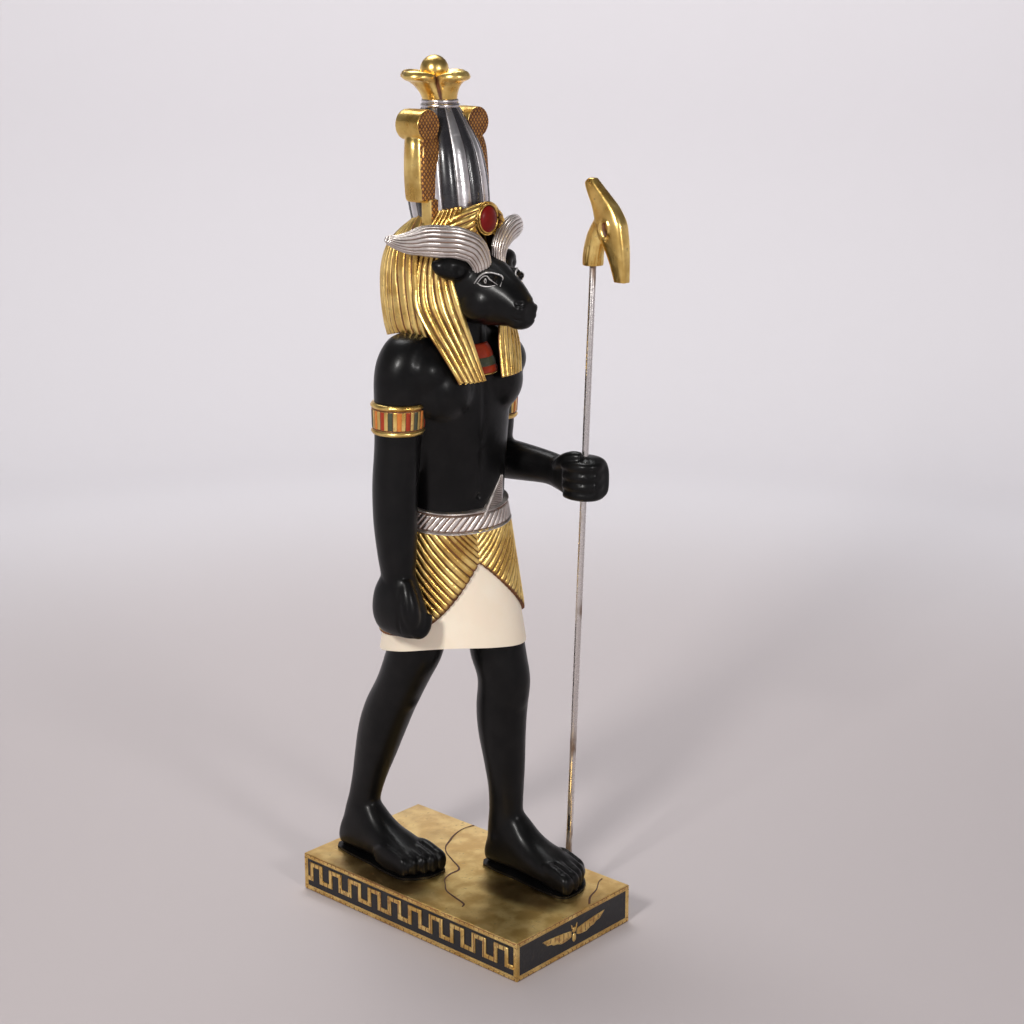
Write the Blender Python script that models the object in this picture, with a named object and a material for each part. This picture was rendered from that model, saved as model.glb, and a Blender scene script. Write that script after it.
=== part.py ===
"""Striding ram-headed figure in a tall crown, holding a rod with an animal-headed top, on a long low plinth.

Four pieces: the plinth, the figure (one casting), the rod and the sceptre head on the rod.
Metres, +Z up. The origin is the middle of the plinth's underside. The figure faces -Y, so its left is +X.
"""
import math

import bmesh
import bpy
import numpy as np
from mathutils import Vector

# Driving sizes, each one set by itself
FIGURE_HEIGHT = 1.000       # soles to the ball on the crown
PLINTH_LENGTH = 0.370       # along Y, the way the figure strides
PLINTH_WIDTH = 0.210
PLINTH_HEIGHT = 0.050
PANEL_DEPTH = 0.0016        # how far the dark panels lie behind the gold rims
RIM_HEIGHT = 0.0065         # gold rim above and below each panel
POST_WIDTH = 0.008          # gold upright at each corner
MEANDER_STROKE = 0.0054     # width of the raised battlement line
MEANDER_UNITS = 10          # battlements along one long side
EMBLEM_SPAN = 0.118         # wing tip to wing tip on the end panels
ROD_DIAMETER = 0.008
ROD_FOOT_DEPTH = 0.012      # how far the rod stands in the plinth
ROD_TOP_DEPTH = 0.022       # how far the rod stands in the sceptre head
TOUCH_GAP = 0.0003          # between faces that touch
BORE_CLEARANCE = 0.0004     # around the rod in its holes

# Counts of carved repeats
WIG_RIBS = 38
LAPPET_RIBS = 6
KILT_PLEATS = 15
CROWN_GADROONS = 16
LOTUS_PETALS = 4
HORN_RIDGES = 5

# The figure's own measure: one part is a thousandth of its height, counted up from its soles
PART = FIGURE_HEIGHT / 1000
SOLE_LEVEL = PLINTH_HEIGHT + TOUCH_GAP
ROD_RADIUS = ROD_DIAMETER / 2
BORE_RADIUS = ROD_RADIUS + BORE_CLEARANCE

RIB_DEPTH = 1.6             # ribs of the headcloth, in parts
LAPPET_BOW = 3.0            # how far a lappet swells across its width
FIGURE_TRIANGLES = 7700     # what the joined figure is thinned to

# Heights on the figure, in parts
HEM, BELT_LOW, BELT_TALL = 297, 447, 27
BELT_TOP = BELT_LOW + BELT_TALL
BELT_RISE = 11              # half of how much higher the belt runs at the back than in front
BELT_TURN = 0.17            # the belt's lowest point lies this far round to the figure's right
APEX = 412                  # where the two pleated flaps part in front
APEX_TURN = -0.115
FLAP_FALLS = {-1: 112, 1: 104}  # how far each flap's edge falls from the apex to the back
FLAP_SPREADS = {-1: 1.15, 1: 1.4}   # turn over which most of that fall lies
PLEAT_LEAN = 0.0135         # turn for each part of height
HEM_RISE = 14               # how far the hem is drawn up between the legs
HEM_SWING = 6               # how much lower it hangs over the rear leg
KILT_DROP = 185             # height over which the kilt widens
WAIST_SKEW = 0.20           # the hips turn with the stride, so the section leans to the front leg
STRIDE_SKEW = 0.11          # how much more it leans at the hem
STRIDE_TURN = math.radians(42)
SOLE_THICK = 5.5            # the thin pad under each foot
SOLE_SHAPE = ((-0.02, 12), (0.04, 20), (0.3, 23), (0.6, 27), (0.85, 30), (0.97, 26), (1.02, 14))
CROWN_LOW, CROWN_HIGH = 812, 942
HAND_LEVEL = 511            # the rod hand
SCEPTRE_LOW, SCEPTRE_HIGH = 764, 860

# The rod's line, in parts: it leans a little forward from its foot
ROD_X = 97
ROD_FOOT_Y, ROD_HEAD_Y = -91, -121


def rod_y(height):
    """Where the rod passes a height, in parts."""
    share = height / SCEPTRE_LOW
    return ROD_FOOT_Y + (ROD_HEAD_Y - ROD_FOOT_Y) * share


def place(x, y, z):
    """A point of the figure, from parts to metres."""
    return Vector((x * PART, y * PART, SOLE_LEVEL + z * PART))


def smooth(stations, spans):
    """Stations joined by a curve through them, with so many steps from one to the next."""
    rows = np.array(stations, dtype=float)
    ends = np.vstack([2 * rows[0] - rows[1], rows, 2 * rows[-1] - rows[-2]])
    out = []
    for i in range(len(rows) - 1):
        a, b, c, d = ends[i:i + 4]
        for step in range(spans):
            t = step / spans
            out.append(0.5 * (2 * b + (c - a) * t + (2 * a - 5 * b + 4 * c - d) * t * t
                              + (3 * b - a - 3 * c + d) * t ** 3))
    out.append(rows[-1])
    return [[float(value) for value in row] for row in out]


def rounded(angle, power):
    """Cosine and sine of an angle on a circle, or on a squarer round where power is over 2."""
    c, s = math.cos(angle), math.sin(angle)
    bend = 2 / power
    return math.copysign(abs(c) ** bend, c), math.copysign(abs(s) ** bend, s)


def new_object(name, bm):
    bmesh.ops.remove_doubles(bm, verts=bm.verts, dist=0.00002)
    bmesh.ops.recalc_face_normals(bm, faces=bm.faces)
    mesh = bpy.data.meshes.new(name)
    bm.to_mesh(mesh)
    bm.free()
    obj = bpy.data.objects.new(name, mesh)
    bpy.context.scene.collection.objects.link(obj)
    return obj


def skin(name, rings):
    """A closed form over rings of points that have the same count, capped at both ends."""
    bm = bmesh.new()
    loops = [[bm.verts.new(point) for point in ring] for ring in rings]
    count = len(loops[0])
    for low, high in zip(loops, loops[1:]):
        for i in range(count):
            j = (i + 1) % count
            bm.faces.new((low[i], low[j], high[j], high[i]))
    bm.faces.new(loops[0][::-1])
    bm.faces.new(loops[-1])
    return new_object(name, bm)


def upright(name, stations, sides=14, spans=2, power=2.0):
    """A form of level rings. A station is x, y, z, half width, front depth, back depth and skew, in parts."""
    rings = []
    for x, y, z, wide, front, back, *skew in smooth(stations, spans):
        ring = []
        for i in range(sides):
            c, s = rounded(2 * math.pi * i / sides, power)
            lean = skew[0] * wide * c if skew else 0
            ring.append(place(x + wide * c, y + (back if s > 0 else front) * s - lean, z))
        rings.append(ring)
    return skin(name, rings)


def forward(name, stations, sides=14, spans=2, power=2.0):
    """A form of rings that face the front. A station is x, y, z, half width, height above and depth below."""
    rings = []
    for x, y, z, wide, above, below in smooth(stations, spans):
        ring = []
        for i in range(sides):
            c, s = rounded(2 * math.pi * i / sides, power)
            ring.append(place(x + wide * c, y, z + (above if s > 0 else below) * s))
        rings.append(ring)
    return skin(name, rings)


def pebble(name, x, y, z, wide, deep, tall, segments=12, rows=8):
    """A ball stretched to half sizes, in parts."""
    bm = bmesh.new()
    bmesh.ops.create_uvsphere(bm, u_segments=segments, v_segments=rows, radius=1)
    for vert in bm.verts:
        vert.co = place(x + wide * vert.co.x, y + deep * vert.co.y, z + tall * vert.co.z)
    return new_object(name, bm)


def sausage(name, points, radii, sides=8):
    """A finger or toe: rounded rings square to a bent line of points, in parts."""
    rings = []
    track = [Vector(p) for p in points]
    run = (track[-1] - track[0]).normalized()
    steady = Vector((0, 0, 1)) if abs(run.z) < 0.7 else Vector((1, 0, 0))
    for i, (point, radius) in enumerate(zip(track, radii)):
        ahead = (track[min(i + 1, len(track) - 1)] - track[max(i - 1, 0)]).normalized()
        side = ahead.cross(steady).normalized()
        other = ahead.cross(side)
        rings.append([place(*(point + radius * (math.cos(a) * side + math.sin(a) * other)))
                      for a in (2 * math.pi * k / sides for k in range(sides))])
    return skin(name, rings)


def block(name, low, high):
    """A box from its lowest to its highest corner, in metres."""
    bm = bmesh.new()
    bmesh.ops.create_cube(bm, size=1)
    for vert in bm.verts:
        vert.co = Vector([lo + (v + 0.5) * (hi - lo) for v, lo, hi in zip(vert.co, low, high)])
    return new_object(name, bm)


def bar(name, start, end, radius, sides=16):
    """A round bar between two points, in metres."""
    axis = (end - start).normalized()
    side = axis.cross(Vector((0, 1, 0))).normalized()
    other = axis.cross(side)
    rings = [[point + radius * (math.cos(a) * side + math.sin(a) * other)
              for a in (2 * math.pi * k / sides for k in range(sides))] for point in (start, end)]
    return skin(name, rings)


def combine(target, others, operation="UNION"):
    """The target with the others joined on or cut out, as one mesh. The others are used up."""
    group = bpy.data.collections.new(target.name + "_group")
    for other in others:
        group.objects.link(other)
    modifier = target.modifiers.new("combine", "BOOLEAN")
    modifier.operation = operation
    modifier.solver = "EXACT"
    modifier.operand_type = "COLLECTION"
    modifier.use_self = True
    modifier.collection = group
    graph = bpy.context.evaluated_depsgraph_get()
    mesh = bpy.data.meshes.new_from_object(target.evaluated_get(graph))
    target.modifiers.clear()
    target.data = mesh
    for other in list(group.objects):
        bpy.data.objects.remove(other)
    bpy.data.collections.remove(group)


def tidy(obj):
    """Every face made a triangle."""
    bm = bmesh.new()
    bm.from_mesh(obj.data)
    bmesh.ops.triangulate(bm, faces=bm.faces)
    bm.to_mesh(obj.data)
    bm.free()


def thin(obj, goal):
    """Slivers and flat runs collapsed until the mesh has about so many triangles."""
    modifier = obj.modifiers.new("thin", "DECIMATE")
    modifier.ratio = min(1, goal / len(obj.data.polygons))
    graph = bpy.context.evaluated_depsgraph_get()
    mesh = bpy.data.meshes.new_from_object(obj.evaluated_get(graph))
    obj.modifiers.clear()
    obj.data = mesh


def paint(obj, name, colour, roughness, metallic):
    material = bpy.data.materials.new(name)
    material.use_nodes = True
    shader = material.node_tree.nodes["Principled BSDF"]
    shader.inputs["Base Color"].default_value = (*colour, 1)
    shader.inputs["Roughness"].default_value = roughness
    shader.inputs["Metallic"].default_value = metallic
    obj.data.materials.clear()
    obj.data.materials.append(material)


# Body

def torso():
    stations = [(0, 9, 430, 60, 37, 40, WAIST_SKEW), (0, 9, 464, 60, 37, 37, WAIST_SKEW),
                (0, 9, 495, 60.5, 39, 37, 0.18), (0, 10, 530, 65, 44, 40, 0.12), (0, 12, 570, 74, 52, 45, 0.05),
                (0, 13, 605, 81, 56, 49, 0), (0, 14, 640, 85, 53, 50, 0), (0, 15, 664, 80, 45, 47, 0),
                (0, 16, 684, 62, 37, 41, 0), (0, 16, 702, 36, 34, 34, 0)]
    chest = upright("torso", stations, sides=20, spans=1, power=2.3)
    neck = upright("neck", [(0, 6, 660, 33, 36, 34), (0, 2, 700, 27, 31, 34), (0, 4, 740, 27, 30, 34)], sides=12, spans=1)
    breasts = [pebble("breast", side * 42, -13, 618, 42, 34, 38, 14, 8) for side in (-1, 1)]
    return [chest, neck, *breasts]


def hanging_arm():
    """The figure's right arm, straight down with its fist closed beside the kilt."""
    arm = upright("hanging_arm", [
        (-62, 12, 700, 15, 14, 14), (-71, 11, 690, 28, 26, 26), (-82, 10, 668, 31, 31, 32), (-86, 11, 640, 31, 31, 33),
        (-88, 14, 600, 27, 29, 30), (-90, 15, 560, 25.5, 27, 29), (-92, 16, 515, 25.5, 26, 31), (-94, 14, 470, 24.5, 24, 31),
        (-95, 11, 430, 22, 21, 28), (-95, 10, 405, 19, 18, 25), (-95, 9, 392, 19, 20, 27)], sides=12, spans=1)
    fist = upright("hanging_fist", [
        (-95, 9, 406, 17, 17, 24), (-95, 8, 385, 21, 25, 36), (-95, 5, 362, 22, 31, 43), (-94, 4, 346, 20, 31, 41),
        (-93, 4, 337, 15, 26, 34)], sides=14, spans=1, power=2.6)
    thumb = sausage("hanging_thumb", [(-108, -4, 396), (-112, -12, 378), (-112, -17, 360), (-109, -17, 346)],
                    [7, 9, 8.5, 6])
    fingers = [sausage("hanging_finger", [(-80, -24 + 15 * k, 364), (-94, -27 + 16 * k, 343), (-108, -21 + 14 * k, 350)],
                       [7, 8.5, 7], 6) for k in range(4)]
    return [arm, fist, thumb, *fingers]


def rod_arm():
    """The figure's left arm: elbow drawn back, forearm level, fist closed round the rod."""
    upper = upright("rod_upper_arm", [
        (58, 22, 694, 15, 14, 14), (68, 23, 682, 27, 25, 25), (77, 24, 658, 29, 29, 31), (83, 26, 630, 29, 30, 31),
        (89, 30, 595, 26, 28, 28), (95, 36, 556, 25, 28, 27), (99, 43, 530, 24, 28, 25), (100, 45, 512, 23, 26, 23),
        (100, 42, 494, 14, 16, 14)],
        sides=12, spans=1)
    lower = forward("rod_forearm", [
        (100, 60, 512, 12, 14, 14), (100, 48, 512, 22, 22, 22), (100, 20, 512, 24, 25, 25), (101, -15, 512, 22, 23, 23),
        (101, -50, 512, 18, 20, 20), (100, -70, 511, 16, 17, 18), (99, -82, 511, 18, 19, 20)], sides=12, spans=1)
    fist = forward("rod_fist", [
        (99, -70, 511, 15, 16, 16), (99, -82, 511, 19, 22, 23), (101, -98, 510, 21, 26, 27),
        (102, -120, 510, 21, 26, 26), (102, -131, 509, 19, 24, 23), (101, -137, 508, 13, 17, 17)],
        sides=14, spans=1, power=3.2)
    thumb = sausage("rod_thumb", [(85, -76, 522), (84, -90, 531), (87, -104, 537), (90, -114, 537)], [8, 9, 8, 5.5])
    fingers = []
    for k, level in enumerate((526, 513.5, 501, 489.5)):
        bent = [(98, -131, level), (85, -127, level), (79, -112, level), (81, -96, level)]
        fingers.append(sausage("rod_finger", bent, [7.0, 7.2, 7.0, 6.2] if k < 3 else [6.2, 6.4, 6.2, 5.4], 6))
    return [upper, lower, fist, thumb, *fingers]


def leg(name, stations, heel, toe, side):
    """One leg with its foot. heel and toe are points on the sole's middle line; side is -1 for the right foot."""
    shank = upright(name, stations, sides=14, spans=1)
    (heel_x, heel_y), (toe_x, toe_y) = heel, toe
    length = heel_y - toe_y

    def along(share, height, wide, above):
        x = heel_x + (toe_x - heel_x) * share
        return (x, heel_y - length * share, height, wide, above, height - 1)

    foot = forward(name + "_foot", [
        along(0.00, 14, 12, 10), along(0.05, 18, 18, 22), along(0.18, 22, 21, 48), along(0.34, 22, 22, 56),
        along(0.50, 18, 24, 44), along(0.66, 14, 26, 28), along(0.80, 11, 27, 17), along(0.90, 9, 26, 12)],
        sides=12, spans=1, power=2.6)
    toes = []
    for k in range(5):
        across = (19 - 10.5 * k) * -side
        reach = 1.0 - 0.026 * k * (1 + 0.25 * k)
        radius = 10.2 if k == 0 else 8.0 - 0.35 * k
        x = heel_x + (toe_x - heel_x) * 0.9 + across
        toes.append(sausage(name + "_toe", [
            (x, heel_y - length * 0.74, 14), (x, heel_y - length * (reach - 0.12), 12),
            (x, heel_y - length * (reach - 0.04), 10), (x, heel_y - length * reach, 9)],
            [radius * 0.95, radius, radius, radius * 0.65], 7))
    sole = [place(heel_x + (toe_x - heel_x) * share + side * wide, heel_y - length * share, 0)
            for side, shares in ((-1, SOLE_SHAPE), (1, SOLE_SHAPE[::-1])) for share, wide in shares]
    sole = skin(name + "_sole", [sole, [point + Vector((0, 0, SOLE_THICK * PART)) for point in sole]])
    return [shank, foot, sole, *toes]


def legs():
    rear = leg("rear_leg", [
        (-40, 28, 315, 34, 38, 38), (-42, 41, 288, 32, 36, 37), (-44, 58, 253, 30, 34, 34), (-45, 78, 215, 30, 33, 38),
        (-45, 93, 180, 28, 31, 36), (-45, 108, 140, 24, 27, 30), (-45, 120, 108, 20, 24, 25), (-45, 131, 78, 19, 24, 23),
        (-45, 138, 50, 20, 26, 25), (-45, 141, 26, 19, 26, 24)], (-46, 167), (-47, 12), -1)
    front = leg("front_leg", [
        (38, -18, 315, 33, 38, 38), (40, -24, 283, 32, 36, 37), (42, -31, 250, 30, 34, 34), (42, -29, 212, 29, 32, 37),
        (42, -30, 178, 27, 29, 35), (42, -33, 140, 23, 26, 29), (42, -35, 108, 20, 24, 25), (42, -34, 78, 19, 25, 23),
        (42, -33, 50, 20, 27, 24), (42, -32, 26, 19, 27, 23)], (42, -8), (48, -153), 1)
    return rear + front


# Head

def ram_head():
    head = forward("ram_head", [
        (0, 20, 745, 34, 34, 44), (0, -20, 744, 38, 41, 46), (0, -42, 742, 37, 39, 45), (0, -58, 739, 34, 35, 41),
        (0, -74, 734, 28, 30, 35), (0, -89, 727, 22, 26, 27), (0, -100, 721, 18, 21, 21), (0, -107, 719, 15, 16, 17),
        (0, -112, 718, 10, 11, 11)], sides=16, spans=1, power=2.2)
    lips = pebble("lips", 0, -95, 706, 14, 14, 8, 12, 6)
    cheeks = [pebble("cheek", side * 24, -50, 728, 14, 24, 20, 10, 6) for side in (-1, 1)]
    brows = [pebble("brow", side * 20, -56, 756, 10, 18, 8, 10, 6) for side in (-1, 1)]
    eyes = [pebble("eye", side * 24, -66, 750, 5, 9, 5, 8, 6) for side in (-1, 1)]
    nostrils = [pebble("nostril_wing", side * 9, -105, 724, 7, 7, 7, 8, 6) for side in (-1, 1)]
    ears = []
    for side in (-1, 1):
        ears.append(sausage("ear", [(side * 32, -44, 757), (side * 44, -36, 763), (side * 54, -28, 768),
                                    (side * 64, -20, 772)], [7, 10, 8.5, 2]))
    return [head, lips, *cheeks, *brows, *eyes, *nostrils, *ears]


def horn(side):
    """A broad wavy horn, ridged along its length."""
    track = smooth([(10, -50, 768, 7, 8), (14, -50, 784, 9, 13), (31, -43, 794, 10, 17), (50, -33, 798, 10, 17),
                    (68, -23, 799, 9, 17), (86, -13, 796, 8, 14), (100, -5, 798, 7, 9), (110, 1, 802, 3.5, 4)], 1)
    rings = []
    points = 2 * HORN_RIDGES * 2
    for i, (x, y, z, thick, broad) in enumerate(track):
        before, after = track[max(i - 1, 0)], track[min(i + 1, len(track) - 1)]
        ahead = (Vector(after[:3]) - Vector(before[:3])).normalized()
        front = Vector((0.35, -1, 0)).cross(ahead).cross(ahead) * -1
        front = front.normalized()
        across = ahead.cross(front)
        ring = []
        for k in range(points):
            angle = 2 * math.pi * k / points
            swell = 1.0 if k % 2 else 0.90
            offset = swell * (thick * math.cos(angle) * front + broad * math.sin(angle) * across)
            ring.append(place(side * (x + offset.x), y + offset.y, z + offset.z))
        rings.append(ring)
    return skin("horn", rings)


def wig():
    """The ribbed headcloth, its raised front that holds the disc, and its two lappets."""
    stations = smooth([(668, 28, 60, 46, 62, 0), (700, 30, 70, 56, 66, 0), (730, 30, 73, 60, 70, 0),
                       (762, 30, 71, 63, 67, 0), (790, 27, 64, 66, 58, 4), (810, 22, 54, 64, 48, 8),
                       (824, 18, 42, 58, 38, 12)], 1)
    count = 2 * WIG_RIBS
    rings = []
    for z, y, wide, front, back, tilt in stations:
        ring = []
        for i in range(count):
            angle = 2 * math.pi * i / count
            c, s = rounded(angle, 2.2)
            rib = RIB_DEPTH * (1 if i % 2 else -1)
            swell = 1 + rib / wide
            ring.append(place(wide * swell * c, y + (back if s > 0 else front) * swell * s, z - tilt * s))
        rings.append(ring)
    cloth = skin("wig", rings)
    lappets = [lappet(side) for side in (-1, 1)]
    peak = upright("peak", [(0, -16, 780, 30, 30, 30), (0, -14, 800, 28, 29, 30), (0, -10, 818, 24, 29, 30),
                            (0, -6, 832, 15, 26, 30), (0, -2, 839, 6, 20, 26)], sides=16, spans=1)
    disc = forward("disc", [(0, -30, 819, 14, 15, 15), (0, -43, 819, 14, 15, 15), (0, -44, 819, 11, 12, 12)],
                   sides=16, spans=1)
    return [cloth, peak, disc, *lappets]


def lappet(side):
    """A ribbed end of the headcloth that comes forward over the shoulder and hangs on the chest."""
    rows = smooth([(785, 62, 8, 38, -22), (757, 70, 8, 38, -27), (725, 75, 4, 34, -35), (697, 73, -17, 26, -40),
                   (675, 68, -32, 20, -44), (655, 61, -42, 16, -50), (638, 54, -48, 13, -54)], 1)
    rings = []
    points = 2 * LAPPET_RIBS + 1
    thick = 13
    for z, out_x, out_y, in_x, in_y in rows:
        edge = Vector((out_x - in_x, out_y - in_y, 0))
        face = Vector((edge.y, -edge.x, 0)).normalized()
        if face.y > 0:
            face = -face
        ring = []
        for i in range(points):
            share = i / (points - 1)
            bow = LAPPET_BOW * math.sin(math.pi * share)
            rib = RIB_DEPTH if i % 2 else 0
            spot = Vector((in_x, in_y, 0)) + edge * share + face * (bow + rib)
            ring.append(place(side * spot.x, spot.y, z))
        for share in (1, 0):
            spot = Vector((in_x, in_y, 0)) + edge * share - face * thick
            ring.append(place(side * spot.x, spot.y, z))
        rings.append(ring)
    return skin("lappet", rings)


# Crown

def crown_middle(z):
    """Where the crown's leaning axis passes a height, in parts."""
    return 13 + (z - CROWN_LOW) * 0.115


def crown():
    body = []
    profile = smooth([(CROWN_LOW, 45), (835, 47.5), (856, 47.8), (876, 46.2), (897, 42.5), (917, 34.5), (934, 26.5),
                      (CROWN_HIGH, 22)], 1)
    count = 2 * CROWN_GADROONS
    for z, radius in profile:
        ring = []
        for i in range(count):
            angle = 2 * math.pi * i / count
            swell = radius * (1.0 if i % 2 else 0.965)
            ring.append(place(swell * math.cos(angle), crown_middle(z) + swell * math.sin(angle), z))
        body.append(ring)
    forms = [skin("crown_body", body)]
    for z, radius in ((943, 22.5), (948, 21.5)):
        forms.append(upright("crown_ring", [
            (0, crown_middle(z), z - 3, radius - 2, radius - 2, radius - 2),
            (0, crown_middle(z), z, radius, radius, radius),
            (0, crown_middle(z), z + 3, radius - 2, radius - 2, radius - 2)], sides=20, spans=1))
    return forms + [plume(-1), plume(1), lotus(), pebble("ball", 0, 37, 983.5, 16.5, 16.5, 16.5, 12, 8)]


def plume(side):
    """A feather beside the crown, its top rolled outwards."""
    stem = upright("plume", [
        (side * 40, 15, 836, 14, 11, 11), (side * 41, 15, 842, 19, 13, 13), (side * 41, 16, 870, 18, 13, 13),
        (side * 40, 19, 898, 16, 13, 13), (side * 34, 24, 925, 18, 12, 12), (side * 28, 25, 937, 14, 11, 11)],
        sides=10, spans=1, power=3)
    roll = forward("plume_roll", [
        (side * 47, 39, 923, 13, 12, 12), (side * 47, 37, 923, 17, 16, 16), (side * 47, 15, 922, 17, 16, 16),
        (side * 47, 13, 922, 13, 12, 12)], sides=12, spans=1)
    bpy.context.view_layer.update()
    combine(stem, [roll])
    return stem


def lotus():
    count = 4 * LOTUS_PETALS
    rings = []
    for z, y, radius, flare, lift in ((946, 28, 19, 0, 0), (955, 30, 21, 1, 0), (965, 33, 26, 3, 0),
                                      (972, 35, 32, 6, -2), (977, 36, 31, 6, -2), (968, 37, 18, 0, 0)):
        ring = []
        for i in range(count):
            angle = 2 * math.pi * i / count
            leaf = math.cos(LOTUS_PETALS * angle)
            reach = radius + flare * leaf
            ring.append(place(reach * math.cos(angle), y + reach * math.sin(angle), z + lift * leaf))
        rings.append(ring)
    return skin("lotus", rings)


# Kilt, belt and jewels

def kilt_point(turn, z, proud):
    """A point on the kilt: turn is 0 in front and grows to the figure's left."""
    share = max(0, (BELT_TOP - z) / KILT_DROP)
    wide = 60.5 + 15.5 * share ** 0.7
    front = 39 + 34 * share ** 1.2
    back = 42 + 40 * share ** 0.8
    c, s = rounded(turn - math.pi / 2, 2.15)
    x = (wide + proud) * c
    return x, 9 + 2 * share + ((back if s > 0 else front) + proud) * s - (WAIST_SKEW + STRIDE_SKEW * share) * x, z


def belt_low(turn):
    """The belt dips in front and rises to the back."""
    return BELT_LOW + BELT_RISE * (1 - math.cos(turn + BELT_TURN))


def hem_height(turn):
    """The hem hangs lower over the legs and is drawn up between them."""
    stride = turn - STRIDE_TURN
    return HEM + HEM_RISE * math.sin(stride) ** 2 + HEM_SWING * math.cos(stride)


def kilt():
    sides = 28
    rings = []
    for row in range(7):
        share = row / 6
        ring = []
        for i in range(sides):
            turn = 2 * math.pi * i / sides
            top = belt_low(turn) + BELT_TALL - 6
            ring.append(place(*kilt_point(turn, top + (hem_height(turn) - top) * share, 0)))
        rings.append(ring)
    return [skin("kilt", rings[::-1]), *[flap(side) for side in (-1, 1)]]


def flap(side):
    """One pleated half of the overkilt, each pleat running down towards the front."""
    columns = 2 * KILT_PLEATS + 1
    rows = 4
    front_run = (BELT_LOW - APEX) / 170
    meet = 0.012 if side < 0 else 0.018     # the halves run a little past each other
    bm = bmesh.new()

    def sheet(proud, fold):
        grid = []
        for i in range(columns):
            s = i / (columns - 1) * (1 + front_run)
            if s < front_run:
                low_turn, low_z = -meet, BELT_LOW + 4 - (BELT_LOW + 4 - APEX) * s / front_run
            else:
                low_turn = (math.pi + 2 * meet) * (s - front_run) - meet
                low_z = APEX - FLAP_FALLS[side] * math.tanh(max(0, low_turn) / FLAP_SPREADS[side])
            rise = belt_low(APEX_TURN + side * min(low_turn + 0.8, math.pi)) + 4 - low_z
            high_turn = low_turn + PLEAT_LEAN * rise
            if high_turn > math.pi + meet:
                rise *= (math.pi + meet - low_turn) / max(high_turn - low_turn, 1e-6)
                high_turn = math.pi + meet
            ridge = fold if i % 2 else 0
            line = []
            for j in range(rows + 1):
                t = j / rows
                turn = APEX_TURN + side * (low_turn + (high_turn - low_turn) * t)
                line.append(bm.verts.new(place(*kilt_point(turn, low_z + rise * t, proud + ridge))))
            grid.append(line)
        return grid

    outer, inner = sheet(2.6, 2.2), sheet(-9, 0)
    for grid in (outer, inner):
        for a, b in zip(grid, grid[1:]):
            for j in range(rows):
                bm.faces.new((a[j], b[j], b[j + 1], a[j + 1]))
    rim = [v[0] for v in outer] + outer[-1][1:] + [v[-1] for v in outer[::-1]][1:] + outer[0][::-1][1:-1]
    back = [v[0] for v in inner] + inner[-1][1:] + [v[-1] for v in inner[::-1]][1:] + inner[0][::-1][1:-1]
    for i in range(len(rim)):
        j = (i + 1) % len(rim)
        bm.faces.new((rim[i], rim[j], back[j], back[i]))
    return new_object("flap", bm)


def belt():
    forms = []
    for low, high, proud in ((0, BELT_TALL, 2.4), (0, 4, 4.2), (BELT_TALL - 4, BELT_TALL, 4.2)):
        rings = []
        for rise in (low, high):
            turns = [2 * math.pi * i / 28 for i in range(28)]
            rings.append([place(*kilt_point(turn, belt_low(turn) + rise, proud)) for turn in turns])
        forms.append(skin("belt", rings))
    bm = bmesh.new()
    corners = [(9, -33.5, 466), (37.5, -31.5, 468), (42, -28, 508), (36, -31, 511)]
    outer = [bm.verts.new(place(*c)) for c in corners]
    inner = [bm.verts.new(place(c[0] - 4, c[1] + 16, c[2])) for c in corners]
    bm.faces.new(outer)
    bm.faces.new(inner[::-1])
    for i in range(4):
        j = (i + 1) % 4
        bm.faces.new((outer[i], outer[j], inner[j], inner[i]))
    return forms + [new_object("tab", bm)]


def armlets():
    forms = []
    for side, foot, low_x, high_x, low_y, high_y in ((-1, 577, -89, -89, 14.5, 13), (1, 565, 93.5, 88, 34.5, 29)):
        for low, high, proud in ((0, 36, 2.2), (0, 6, 3.8), (30, 36, 3.8)):
            rows = []
            for rise in (low, high):
                share = rise / 36
                wide = 26.5 + share * 1.5 + proud
                x, y = low_x + (high_x - low_x) * share, low_y + (high_y - low_y) * share
                rows.append((x, y, foot + rise, wide, wide + 1.5, wide + 2.5))
            forms.append(upright("armlet", rows, sides=16, spans=1))
    return forms


def collar():
    rows = [(0, 2, 641, 42, 46, 40), (0, 2, 646, 42, 45, 40), (0, 3, 660, 38, 41, 36), (0, 4, 674, 31, 37, 32)]
    return [upright("collar", rows, sides=20, spans=1)]


def figure():
    forms = torso() + hanging_arm() + rod_arm() + legs() + ram_head() + [horn(-1), horn(1)] + wig() + crown()
    forms += kilt() + belt() + armlets() + collar()
    body, *rest = forms
    body.name = body.data.name = "figure"
    bpy.context.view_layer.update()
    combine(body, rest)
    tidy(body)
    thin(body, FIGURE_TRIANGLES)
    bottom = place(ROD_X, rod_y(HAND_LEVEL - 60), HAND_LEVEL - 60)
    top = place(ROD_X, rod_y(HAND_LEVEL + 60), HAND_LEVEL + 60)
    bore = bar("rod_bore", bottom, top, BORE_RADIUS)
    bpy.context.view_layer.update()
    combine(body, [bore], "DIFFERENCE")
    tidy(body)
    paint(body, "black_lacquer", (0.012, 0.012, 0.013), 0.3, 0.0)
    return body


# Sceptre

def rod_line():
    """The rod's foot in the plinth and its top in the head, in metres."""
    at_sole = place(ROD_X, rod_y(0), 0)
    at_head = place(ROD_X, rod_y(SCEPTRE_LOW), SCEPTRE_LOW)
    ahead = (at_head - at_sole).normalized()
    return at_sole, at_head, ahead


def rod():
    at_sole, at_head, ahead = rod_line()
    obj = bar("sceptre_rod", at_sole - ahead * ROD_FOOT_DEPTH, at_head + ahead * ROD_TOP_DEPTH, ROD_RADIUS, 12)
    paint(obj, "bright_rod", (0.62, 0.58, 0.55), 0.3, 1.0)
    return obj


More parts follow.
